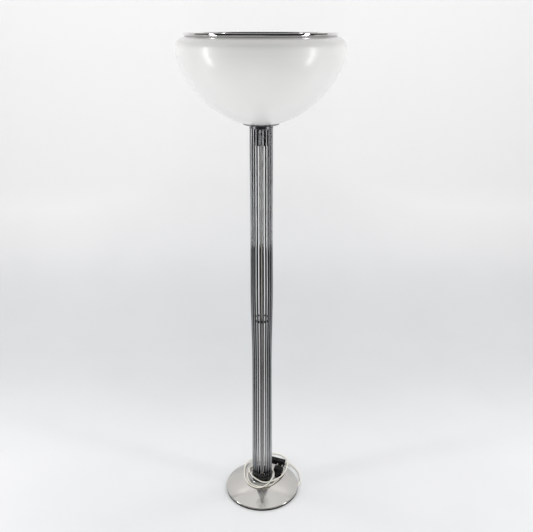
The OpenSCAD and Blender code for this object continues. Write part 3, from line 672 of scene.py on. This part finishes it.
# %% Saucer
GALLERY_HOLE_R, SHEET_T, FLAT_MARGIN, FLAT_STEP = 5.1 * mm, 1.6 * mm, 2 * mm, 0.6 * mm
gallery_flat = COLUMN_R + FLAT_MARGIN
edge_z = gallery_high.z - gallery_low.z - SHEET_T / 2
gallery_profile = (
    [(GALLERY_HOLE_R, 0), (gallery_flat, 0)]
    + arc(gallery_high.x - SHEET_T / 2, edge_z, SHEET_T / 2, -75, 105, 8)
    + [(gallery_flat - FLAT_STEP, SHEET_T), (GALLERY_HOLE_R, SHEET_T)])
gallery = lathe("gallery", gallery_profile, gallery_low.z)
finish_piece(gallery, shaded_saucer_chrome, "lamp", "chrome", "gallery_dish")
print("saucer: %.1f mm across" % (2 * gallery_high.x / mm))

# %% [markdown]
# ## One rod
# Long thin stock is never quite straight. Held in the head and the foot, the rods bow outwards
# from the spacer up, a little inwards below it and out again near the foot, and a straight
# cage would look stiff. A Curve modifier could bend a cylinder, but the bow is easiest as a
# sideways shift at each height, read from a smooth curve through a few stations.

# %% One rod
ROD_BOW = [(66, 0.0), (120, 0.7), (220, 0.5), (330, 0.0), (450, -0.7), (560, -1.1), (640, 0.0),
           (714, 1.6), (800, 2.6), (880, 2.2), (1000, 1.4), (1150, 1.1), (1300, 0.9),
           (1376, 0.4)]
ROD_SIDES, ROD_STATIONS = 28, 90
CHAMFER_H, CHAMFER_R = 0.6 * mm, 0.5 * mm


def rod_offset(z):
    """The bow of a rod at height z: ROD_BOW lists heights and outward shifts in mm."""
    heights = [height * mm for height, _ in ROD_BOW]
    if z <= heights[0] or z >= heights[-1]:
        return ROD_BOW[0 if z <= heights[0] else -1][1] * mm
    i = max(k for k in range(len(heights)) if heights[k] <= z)
    u = i + (z - heights[i]) / (heights[i + 1] - heights[i])
    return catmull_rom([Vector((height * mm, shift * mm)) for height, shift in ROD_BOW], u).y


def rod_mesh():
    """One rod along Z, bowed along X, with small chamfers at its ends."""
    low, high = rod_low.z, rod_high.z
    heights = [low, low + CHAMFER_H]
    heights += [low + (high - low) * i / ROD_STATIONS for i in range(1, ROD_STATIONS)]
    heights += [high - CHAMFER_H, high]
    rings = []
    for z in heights:
        r = ROD_R - (CHAMFER_R if z in (low, high) else 0)
        rings.append([(rod_offset(z) + r * math.cos(t), r * math.sin(t), z)
                      for t in full_turn(ROD_SIDES)])
    return loft("rod_pattern", rings, 60)


pattern = rod_mesh()
print("rod: %.3f m long" % (rod_high.z - rod_low.z))

# %% [markdown]
# ## The cage of rods
# The cage is one rod, repeated round a circle. Geometry Nodes says just that: a mesh circle
# gives the places, each instance turns its X axis, and with it its bow, outwards, and the
# number of rods stays an input. Half a pitch of turn brings two rods to the front instead of
# one. An Array modifier with an empty does the same with less control over the turn.

# %% Cage
def rod_cage(pattern, count, radius):
    """An object whose modifier sets pattern on each point of a circle."""
    group = bpy.data.node_groups.new("rod_cage", "GeometryNodeTree")
    new = group.interface.new_socket
    rods_in = new("Rods", in_out="INPUT", socket_type="NodeSocketInt")
    radius_in = new("Radius", in_out="INPUT", socket_type="NodeSocketFloat")
    new("Geometry", in_out="OUTPUT", socket_type="NodeSocketGeometry")
    entry = add_node(group, "NodeGroupInput").outputs
    circle = add_node(group, "GeometryNodeMeshCircle", {
        "Vertices": entry["Rods"], "Radius": entry["Radius"]})
    turned = add_node(group, "GeometryNodeTransform", {
        "Geometry": circle.outputs["Mesh"],
        "Rotation": (0, 0, math.pi / count - math.pi / 2)})
    position = add_node(group, "GeometryNodeInputPosition")
    outwards = add_node(group, "FunctionNodeAlignRotationToVector", {
        "Vector": position.outputs[0]}, axis="X")
    source = add_node(group, "GeometryNodeObjectInfo", {"Object": pattern})
    placed = add_node(group, "GeometryNodeInstanceOnPoints", {
        "Points": turned.outputs["Geometry"], "Rotation": outwards.outputs[0],
        "Instance": source.outputs["Geometry"]})
    real = add_node(group, "GeometryNodeRealizeInstances", {"Geometry": placed.outputs[0]})
    plated = add_node(group, "GeometryNodeSetMaterial", {
        "Geometry": real.outputs[0], "Material": rod_chrome.material})
    add_node(group, "NodeGroupOutput", {0: plated.outputs[0]})
    carrier = add_object("rod_carrier", bpy.data.meshes.new("rod_carrier"))
    modifier = carrier.modifiers.new("cage", "NODES")
    modifier.node_group = group
    modifier[rods_in.identifier] = count
    modifier[radius_in.identifier] = radius
    return carrier


def bake(carrier, name):
    """The result of carrier's modifiers as a plain mesh object."""
    bpy.context.view_layer.update()
    evaluated = carrier.evaluated_get(bpy.context.evaluated_depsgraph_get())
    mesh = bpy.data.meshes.new_from_object(evaluated)
    mesh.name = name
    bpy.data.objects.remove(carrier)
    return add_object(name, mesh)


rods = bake(rod_cage(pattern, ROD_COUNT, COLUMN_R - ROD_R), "rods")
bpy.data.objects.remove(pattern)
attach(rods, "lamp")
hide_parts(*["rod_%02d" % i for i in range(1, ROD_COUNT + 1)])
print("rods:", ROD_COUNT, "faces:", len(rods.data.polygons))

# %% [markdown]
# ## Foot flange
# A turned flange stands on the base's flat top under the rods. It has a thin foot bead, a
# groove above it and a rounded shoulder: three arcs, which catch three separate highlights.
# The base is part of a large sphere, so the height of its flat top follows from the sphere's
# radius and the flange's, and those sizes come first.

# %% Base sizes
BASE_R, DOME_R, BASE_ROUND = 137.5 * mm, 304 * mm, 3 * mm
FLANGE_R, BASE_HOLE_R = 50 * mm, 5.2 * mm
dome_centre_z = BASE_EDGE_Z - math.sqrt((DOME_R - BASE_ROUND) ** 2 - (BASE_R - BASE_ROUND) ** 2)
dome_top_z = dome_centre_z + math.sqrt(DOME_R ** 2 - FLANGE_R ** 2)
print("dome: flat top at %.1f mm" % (dome_top_z / mm))

# %% Foot flange
FLANGE_H, FLANGE_ROUND = 12 * mm, 3 * mm
BEAD_R, BEAD_IN, BODY_IN, GROOVE_Z = 1.5 * mm, 1 * mm, 1.5 * mm, 4 * mm
bead = arc(FLANGE_R - BEAD_IN, BEAD_R, BEAD_R, -90, 90, 10)
body = arc(FLANGE_R - BODY_IN - FLANGE_ROUND, FLANGE_H - FLANGE_ROUND, FLANGE_ROUND, 0, 90, 12)
flange_profile = ([(BASE_HOLE_R, 0)] + bead + [(FLANGE_R - BODY_IN, GROOVE_Z)] + body
                  + [(BASE_HOLE_R, FLANGE_H)])
flange = lathe("flange", flange_profile, dome_top_z)
finish_piece(flange, trim_chrome, "lamp", "chrome", "foot_flange")
print("flange: %.1f mm across" % (2 * FLANGE_R / mm))

# %% [markdown]
# ## Base dome
# The base is a spun cap of sheet metal, rolled over at its edge. The edge ends above the
# floor, so the black pan shows as a thin line under it. Sphere and rolled edge meet where
# their tangents agree, so the reflection runs over the joint without a kink.

# %% Base dome
BASE_GAP, BASE_WALL, EDGE_CHAMFER = 5 * mm, 1.5 * mm, 0.3 * mm
edge_angle = math.degrees(math.acos((BASE_R - BASE_ROUND) / (DOME_R - BASE_ROUND)))
crown_angle = math.degrees(math.acos(FLANGE_R / DOME_R))
inner_r = DOME_R - BASE_WALL
inner_crown = math.degrees(math.acos(FLANGE_R / inner_r))
inner_top_z = dome_centre_z + inner_r * math.sin(math.radians(inner_crown))
dome_profile = (
    [(BASE_HOLE_R, dome_top_z)]
    + arc(0, dome_centre_z, DOME_R, crown_angle, edge_angle, 60)
    + arc(BASE_R - BASE_ROUND, BASE_EDGE_Z, BASE_ROUND, edge_angle, 0, 12)
    + [(BASE_R, BASE_GAP + EDGE_CHAMFER), (BASE_R - EDGE_CHAMFER, BASE_GAP),
       (BASE_R - BASE_WALL, BASE_GAP)]
    + arc(BASE_R - BASE_ROUND, BASE_EDGE_Z, BASE_ROUND - BASE_WALL, 0, edge_angle, 8)
    + arc(0, dome_centre_z, inner_r, edge_angle, inner_crown, 40)
    + [(BASE_HOLE_R, inner_top_z)])
dome = lathe("dome", dome_profile, segments=256, degrees=40)
finish_piece(dome, dome_chrome, "lamp", "chrome", "base_dome")
print("dome: %.1f mm across" % (2 * BASE_R / mm))

# %% [markdown]
# ## Moulded outlines
# The switch and the plug are moulded halves: boxes and ovals with soft edges. Each is lofted
# through stacked outlines that all have the same number of points, so a face, a groove or a
# rounded edge is only one more outline. A bevelled box would be quicker, but its bevels meet
# in the same way at every corner, and a moulded edge doesn't.

# %% Outlines
def rounded_ring(length, width, corner_r, z, steps=8):
    """A rectangle with round corners at height z."""
    points = []
    for turn, sx, sy in ((0, 1, 1), (90, -1, 1), (180, -1, -1), (270, 1, -1)):
        cx, cy = sx * (length / 2 - corner_r), sy * (width / 2 - corner_r)
        points += [(x, y, z) for x, y in arc(cx, cy, corner_r, turn, turn + 90, steps)]
    return points


def oval_ring(width, thickness, z, steps=16):
    """A slot shape at height z: a circle where width equals thickness."""
    r, shift = thickness / 2, (width - thickness) / 2
    return [(x, y, z) for x, y in arc(shift, 0, r, -90, 90, steps)
            + arc(-shift, 0, r, 90, 270, steps)]

# %% [markdown]
# ## Switch housing
# Two black halves meet in a fine groove at the height of the lead. The lower one has a soft
# foot edge. The upper one curves over at the top and goes down into a well for the rocker, so
# its last outlines are those of the window.

# %% Switch housing
SWITCH_L, SWITCH_W, SWITCH_H, SPLIT, CORNER = 62 * mm, 20 * mm, 18 * mm, 8 * mm, 5 * mm
ROCKER_L, ROCKER_W, SWING = 22 * mm, 9 * mm, math.radians(16)
WINDOW_L, WINDOW_W, WINDOW_CORNER = ROCKER_L + 1 * mm, ROCKER_W + 1 * mm, 1 * mm
TOP_ROUND = 2 * mm
SWITCH_AT, SWITCH_TURN = (64 * mm, 138 * mm, 0), math.radians(-22.62)
switch_frame = Matrix.Translation(SWITCH_AT) @ Matrix.Rotation(SWITCH_TURN, 4, "Z")


def block_ring(inset, z):
    return rounded_ring(SWITCH_L - 2 * inset, SWITCH_W - 2 * inset, CORNER - inset, z)


def window_ring(flare, z):
    return rounded_ring(WINDOW_L + 2 * flare, WINDOW_W + 2 * flare, WINDOW_CORNER + flare, z)


base_half = loft("switch_lower", [
    block_ring(1.2 * mm, 0), block_ring(0.4 * mm, 0.3 * mm), block_ring(0, 1.1 * mm),
    block_ring(0, SPLIT - 0.5 * mm), block_ring(0.35 * mm, SPLIT - 0.25 * mm),
    block_ring(0.45 * mm, SPLIT)])
top_bend = [block_ring(TOP_ROUND - TOP_ROUND * math.cos(t),
                       SWITCH_H - TOP_ROUND + TOP_ROUND * math.sin(t))
            for t in [math.radians(a) for a in range(0, 91, 15)]]
window = [window_ring(0.4 * mm, SWITCH_H), window_ring(0.1 * mm, SWITCH_H - 0.15 * mm),
          window_ring(0, SWITCH_H - 0.5 * mm), window_ring(0, SPLIT + 0.9 * mm)]
cover_half = loft("switch_upper", [
    block_ring(0.45 * mm, SPLIT + 0.05 * mm), block_ring(0.35 * mm, SPLIT + 0.3 * mm),
    block_ring(0, SPLIT + 0.6 * mm)] + top_bend + window)
for piece, node in ((base_half, "switch_base"), (cover_half, "switch_cover")):
    piece.data.transform(switch_frame)
    finish_piece(piece, black_plastic, "lamp", "black_plastic", node)
print("switch: %d x %d x %d mm" % (SWITCH_L / mm, SWITCH_W / mm, SWITCH_H / mm))

# %% [markdown]
# ## Rocker
# The key is lofted sideways, along its own axis: the outline is what one sees from the side,
# a dished top over a blunt keel, and the first and last outlines are drawn in for soft edges.
# It rides on its own body, which tips it, and rests tipped by half of its swing.

# %% Rocker
KEY_TOP, KEY_DISH, KEY_KEEL_W, KEY_KEEL_Z = 3.6 * mm, 1.6 * mm, 3 * mm, -4.5 * mm
KEY_SIDE_Z, KEY_AXIS_DEPTH, DISH_STEPS = -0.5 * mm, 4 * mm, 12


def key_ring(y, inset):
    """The rocker's outline, seen along its axis."""
    half = ROCKER_L / 2 - inset
    top = [(x, KEY_TOP - inset - KEY_DISH * (1 - (x / half) ** 2))
           for x in [half * (1 - 2 * i / DISH_STEPS) for i in range(DISH_STEPS + 1)]]
    keel = [(-KEY_KEEL_W, KEY_KEEL_Z + inset), (KEY_KEEL_W, KEY_KEEL_Z + inset)]
    outline = keel + [(half, KEY_SIDE_Z)] + top + [(-half, KEY_SIDE_Z)]
    return [(x, y, z) for x, z in outline]


soft_edge = [(0, 0.5 * mm), (0.15 * mm, 0.15 * mm), (0.5 * mm, 0)]
rocker_key = loft(
    "rocker_key",
    [key_ring(edge - ROCKER_W / 2, inset) for edge, inset in soft_edge]
    + [key_ring(ROCKER_W / 2 - edge, inset) for edge, inset in soft_edge[::-1]], 25)
rocker_key.data.transform(
    switch_frame @ Matrix.Translation((0, 0, SWITCH_H - KEY_AXIS_DEPTH))
    @ Matrix.Rotation(-SWING / 2, 4, "Y"))
finish_piece(rocker_key, black_plastic, "rocker", "black_plastic", "switch_rocker")
print("rocker swings %.0f degrees" % math.degrees(SWING))

# %% [markdown]
# ## Strain reliefs
# Where a lead leaves the switch, a tapered sleeve with ribs keeps it from being bent sharply.
# The ribs are one cosine along a cone. Both sleeves are turned on Z and then laid along the
# switch, one to each side, with the move baked into the mesh so that the object stays at the
# origin. They share one CAD node, which is hidden once after both are made.

# %% Strain reliefs
RELIEF_L, RELIEF_BORE, RELIEF_RIBS = 20 * mm, LEAD_D / 2 + 0.1 * mm, 7
RELIEF_R0, RELIEF_R1, RIB_DEPTH, STEPS_PER_RIB = 4.1 * mm, 3.2 * mm, 0.28 * mm, 8


def ribbed_relief(name):
    steps = RELIEF_RIBS * STEPS_PER_RIB
    profile = [(RELIEF_BORE, 0)]
    for i in range(steps + 1):
        t = i / steps
        rib = RIB_DEPTH * (1 - math.cos(2 * math.pi * t * RELIEF_RIBS))
        profile.append((RELIEF_R0 + (RELIEF_R1 - RELIEF_R0) * t - rib, RELIEF_L * t))
    return lathe(name, profile + [(RELIEF_BORE, RELIEF_L)], segments=48, degrees=60)


for name, side in (("relief_in", -1), ("relief_out", 1)):
    relief = ribbed_relief(name)
    lay = Vector((side, 0, 0)).to_track_quat("Z", "Y").to_matrix().to_4x4()
    relief.data.transform(Matrix.Translation((side * SWITCH_L / 2, 0, SPLIT)) @ lay)
    relief.data.transform(switch_frame)
    finish_piece(relief, vinyl, "lamp", "ivory_vinyl")
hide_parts("switch_reliefs")
print("reliefs: %d ribs each" % RELIEF_RIBS)

# %% [markdown]
# ## Plug
# The plug is moulded on to the lead: a ribbed round tail, a smooth swell from round to oval,
# a grip with fine grooves and a flat face with a soft edge. All of it is one loft along Z,
# from the tail to the face. plug_frame then lays it against the rods where the coil ends.

# %% Plug
PLUG_W, PLUG_T, PLUG_L = 37 * mm, 26 * mm, 36 * mm
TAIL_D, TAIL_R0, TAIL_R1, TAIL_RIB, TAIL_RIBS = 9.4 * mm, 3.2 * mm, 4.6 * mm, 0.3 * mm, 5
SWELL_L, GRIP_L, FACE_ROUND, GROOVE = 20 * mm, 10.5 * mm, 2.5 * mm, 0.35 * mm
TAIL_STEPS, SWELL_STEPS, GRIP_STEPS, STEPS_PER_GROOVE = 40, 16, 21, 7
plug_frame = (Matrix.Translation((52 * mm, -10 * mm, 43 * mm))
              @ Matrix.Rotation(math.radians(75.96), 4, "Z")
              @ Matrix.Rotation(math.radians(-6.9), 4, "Y")
              @ Matrix.Rotation(math.radians(12), 4, "X")
              @ Matrix.Rotation(math.radians(90), 4, "Y")
              @ Matrix.Rotation(math.radians(90), 4, "Z"))


def plug_rings():
    rings = []
    for i in range(TAIL_STEPS + 1):
        t = i / TAIL_STEPS
        rib = TAIL_RIB * (1 - math.cos(2 * math.pi * t * TAIL_RIBS))
        r = TAIL_R0 + (TAIL_R1 - TAIL_R0) * t - rib
        rings.append(oval_ring(2 * r, 2 * r, RELIEF_L * t))
    for i in range(1, SWELL_STEPS + 1):
        t = i / SWELL_STEPS
        swell = t * t * (3 - 2 * t)
        rings.append(oval_ring(TAIL_D + (PLUG_W - TAIL_D) * swell,
                               TAIL_D + (PLUG_T - TAIL_D) * swell, RELIEF_L + SWELL_L * t))
    for i in range(1, GRIP_STEPS + 1):
        groove = GROOVE * (1 - math.cos(2 * math.pi * i / STEPS_PER_GROOVE))
        groove = groove if i < GRIP_STEPS else 0
        rings.append(oval_ring(PLUG_W - groove, PLUG_T - groove,
                               RELIEF_L + SWELL_L + GRIP_L * i / GRIP_STEPS))
    for a in range(0, 91, 15):
        drawn_in = FACE_ROUND * (1 - math.cos(math.radians(a)))
        rise = FACE_ROUND * math.sin(math.radians(a))
        rings.append(oval_ring(PLUG_W - 2 * drawn_in, PLUG_T - 2 * drawn_in,
                               RELIEF_L + PLUG_L - FACE_ROUND + rise))
    return rings


plug = loft("plug", plug_rings(), 50)
plug.data.transform(plug_frame)
finish_piece(plug, black_plastic, "lamp", "black_plastic", "plug_body")
print("plug: %d x %d mm" % (PLUG_W / mm, PLUG_T / mm))

# %% [markdown]
# ## Pins
# Two round pins with rounded tips, one lathe outline turned twice. They start a little inside
# the plug, so no gap shows at its face.

# %% Pins
PIN_R, PIN_L, PIN_PITCH, PIN_ROOT = 2.4 * mm, 19 * mm, 19 * mm, 1 * mm
TIP_ROUND, TIP_START = 1.6 * mm, 1.8 * mm
face_z = RELIEF_L + PLUG_L
tip_z = face_z + PIN_L
pin_profile = ([(0, face_z - PIN_ROOT), (PIN_R, face_z - PIN_ROOT), (PIN_R, tip_z - TIP_START)]
               + arc(PIN_R - TIP_ROUND, tip_z - TIP_ROUND, TIP_ROUND, 0, 90, 6)
               + [(0, tip_z)])
bm = bmesh.new()
for side in (1, -1):
    pin = lathe_into(bm, pin_profile, 32, closed=False)
    bmesh.ops.translate(bm, verts=pin, vec=(side * PIN_PITCH / 2, 0, 0))
pins = sharpen(from_bmesh("pins", bm), 40)
pins.data.transform(plug_frame)
finish_piece(pins, pin_metal, "lamp", "pin_metal", "plug_pins")
print("pins: %.1f mm, %.0f mm apart" % (2 * PIN_R / mm, PIN_PITCH / mm))

# %% [markdown]
# ## Bulb
# A white globe bulb with a rolled screw cap, which turns and rises with its own body. The
# glass narrows to the cap in a flare that ends where the globe's circle begins. The cap's
# thread is drawn as rings and not as a helix: at this size, and half inside the holder, no
# one can tell, and rings look the same at each turn.

# %% Bulb
cap_low, cap_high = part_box("bulb_cap")
glass_low, glass_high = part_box("bulb_glass")
GLOBE_R, CAP_R, FLARE_GROWS, FLARE_INSET, FLARE_STEPS = 47.5 * mm, 13.1 * mm, 6 * mm, 0.5 * mm, 10
globe_z = glass_high.z - GLOBE_R
flare_low, flare_high = CAP_R - FLARE_INSET, CAP_R + FLARE_GROWS
globe_from = -math.degrees(math.acos(flare_high / GLOBE_R))
flare_z = globe_z + GLOBE_R * math.sin(math.radians(globe_from))
flare = [(flare_low + (flare_high - flare_low) * (i / FLARE_STEPS) ** 1.5,
          glass_low.z + (flare_z - glass_low.z) * i / FLARE_STEPS) for i in range(FLARE_STEPS)]
globe = lathe("bulb_globe", [(0, glass_low.z)] + flare
              + arc(0, globe_z, GLOBE_R, globe_from, 89.9, 48) + [(0, glass_high.z)],
              segments=128, closed=False)
finish_piece(globe, opal_glass, "bulb", "opal_glass", "bulb_glass")

THREAD_DEPTH, THREAD_FROM, THREAD_SHORT, THREAD_STEPS = 0.45 * mm, 4.5 * mm, 6.5 * mm, 50
STEPS_PER_THREAD, TIP_LAND_R, TIP_LAND_H = 10, 6 * mm, 2 * mm
cap_l = cap_high.z - cap_low.z
foot = [(0, cap_low.z + TIP_LAND_H), (TIP_LAND_R, cap_low.z),
        (CAP_R - 2 * mm, cap_low.z + 2.5 * mm)]
thread = [(CAP_R - THREAD_DEPTH * (1 + math.cos(2 * math.pi * i / STEPS_PER_THREAD)),
           cap_low.z + THREAD_FROM + (cap_l - THREAD_SHORT) * i / THREAD_STEPS)
          for i in range(THREAD_STEPS + 1)]
collar = [(CAP_R, cap_high.z - 1 * mm), (CAP_R, cap_high.z), (0, cap_high.z)]
cap = lathe("bulb_screw_cap", foot + thread + collar, segments=96, closed=False)
finish_piece(cap, cap_metal, "bulb", "cap_metal", "bulb_cap")
print("bulb: globe %.0f mm across" % (2 * GLOBE_R / mm))

# %% [markdown]
# ## Backdrop
# A strip of pale paper runs under the lamp, bends up behind it and ends as a wall, so that
# no edge shows behind the lamp. Its grey is painted light and shade: lighter up the wall and
# towards the sides, as on paper that is lit from above, and painted shade makes the bend a
# little darker. Seen from behind the strip is clear, which lets a camera that walks round the
# lamp look through it.

# %% Backdrop
PAPER_FRONT, PAPER_BACK, PAPER_BEND, PAPER_TOP, PAPER_HALF_W = -0.262, 1.9, 0.75, 4.2, 5


def sweep(name):
    """Floor, quarter-round bend and wall as one strip."""
    profile = [(PAPER_FRONT, 0), (0, 0), (PAPER_BACK - PAPER_BEND, 0)]
    profile += arc(PAPER_BACK - PAPER_BEND, PAPER_BEND, PAPER_BEND, -90, 0, 24)[1:]
    profile += [(PAPER_BACK, PAPER_TOP)]
    bm = bmesh.new()
    left, right = [[bm.verts.new((x, y, z)) for y, z in profile]
                   for x in (-PAPER_HALF_W, PAPER_HALF_W)]
    for i in range(len(profile) - 1):
        bm.faces.new((left[i], right[i], right[i + 1], left[i + 1]))
    return from_bmesh(name, bm)


backdrop = sweep("backdrop")
paper = Look("paper", Roughness=0.9)
height = paper.axis(2)
# Painted shade darkens the bend; painted light brightens the wall upwards and towards the sides.
bend = paper.axis(1).ramp(0.1, 0.9) * (1 - height.ramp(0.0, 0.4))
aside = abs(paper.axis(0)).ramp(0.1, 1.4)
wall = (0.5 + 0.25 * aside) * height.ramp(0.15, 0.9)
mottle = 0.15 * (paper.noise(2.5) - 0.5)
paleness = 0.43 + 0.10 * aside - 0.34 * bend + wall + mottle
paper.vary("Base Color", paper.mix(paleness, (0.62, 0.635, 0.65), (0.96, 0.955, 0.955)))
facing = paper.node("ShaderNodeNewGeometry").outputs["Backfacing"]
clear = paper.node("ShaderNodeBsdfTransparent").outputs[0]
see_through = paper.node("ShaderNodeMixShader", {
    0: facing, 1: clear, 2: paper.shader.outputs[0]})
surface = paper.tree.nodes["Material Output"].inputs["Surface"]
paper.tree.links.new(see_through.outputs[0], surface)
paint(backdrop, paper)
print("backdrop: %.1f m wide" % (2 * PAPER_HALF_W))

# %% [markdown]
# ## Lights
# Two tall, narrow soft lights stand left and right. Narrow ones give each rod its own thin
# bright line, where wide ones would wash the cage out. Two more hang above and are aimed at
# the wall. Glossy rays don't see those two, so they leave no patch on the chrome.

# %% Lights
def soft_light(name, at, target, width, height, power, mirrored=True):
    data = bpy.data.lights.new(name, "AREA")
    data.shape, data.size, data.size_y, data.energy = "RECTANGLE", width, height, power
    lamp = bpy.data.objects.new(name, data)
    lamp.location = at
    lamp.rotation_euler = (Vector(at) - Vector(target)).to_track_quat("Z", "Y").to_euler()
    lamp.visible_glossy = mirrored
    bpy.context.collection.objects.link(lamp)


COLUMN_MIDDLE = (0, 0, 1.2)
soft_light("light_left", (-2.57, -0.8, 1.2), COLUMN_MIDDLE, 0.30, 2.2, 21)
soft_light("light_right", (2.44, -1.03, 1.2), COLUMN_MIDDLE, 0.27, 2.2, 17.5)
for name, side, target_x in (("light_wall_left", -1, -0.4), ("light_wall_right", 1, 0.6)):
    soft_light(name, (1.5 * side, 0.5, 3.9), (target_x, PAPER_BACK, 1.3), 2.0, 0.5, 17,
               mirrored=False)
print("lights:", len(bpy.data.lights))

# %% [markdown]
# ## Room
# Chrome needs something to reflect. The world gives two answers to a ray. To a glossy one it
# is a dark room with a pale ceiling, a pale floor underfoot and some glow low on the left.
# To all others it is soft open light, stronger from above and below than from the front, and
# that is what fills the bowl's shading. Directions are read from the world's own coordinates,
# in which x is the right, y the way away from the viewer and z up.

# %% Room
world = bpy.data.worlds.new("room")
world.use_nodes = True
bpy.context.scene.world = world
tree = world.node_tree
where = add_node(tree, "ShaderNodeTexCoord").outputs["Generated"]
ways = add_node(tree, "ShaderNodeSeparateXYZ", {0: where}).outputs
rightwards, behind, above = [Val(tree, ways[i]) for i in range(3)]
below = -above
light_path = add_node(tree, "ShaderNodeLightPath")
mirrored = Val(tree, light_path.outputs["Is Glossy Ray"])

front = (-behind).ramp(0.0, 0.5)
ceiling = (above - 0.38 * front).ramp(0.22, 0.75)
zenith = above.ramp(0.86, 1.0)
floor_glow = below.ramp(0.35, 0.60) * (1 - 0.85 * rightwards.ramp(-0.15, 0.35))
underfoot = below.ramp(0.60, 0.80)
dark_room = 0.02 + 0.20 * behind.ramp(-0.3, 0.4) + 0.32 * floor_glow + 0.65 * underfoot
room = dark_room * (1 - ceiling) + 0.93 * ceiling + 0.06 * zenith

sides = abs(rightwards).ramp(0.3, 1.0)
from_below = below.ramp(-0.1, 0.4) * (1 - 0.35 * (-behind).ramp(0.2, 1.0))
from_above = above.ramp(0.1, 0.9)
open_air = (0.29 + 0.24 * sides + 0.26 * behind.ramp(-0.6, 0.6) + 0.53 * from_above
            + 0.62 * from_below)

strength = mirrored * room + (1 - mirrored) * open_air
background = tree.nodes["Background"]
background.inputs["Color"].default_value = (1, 1, 1, 1)
tree.links.new(strength.socket, background.inputs["Strength"])
print("room: %d nodes" % len(tree.nodes))
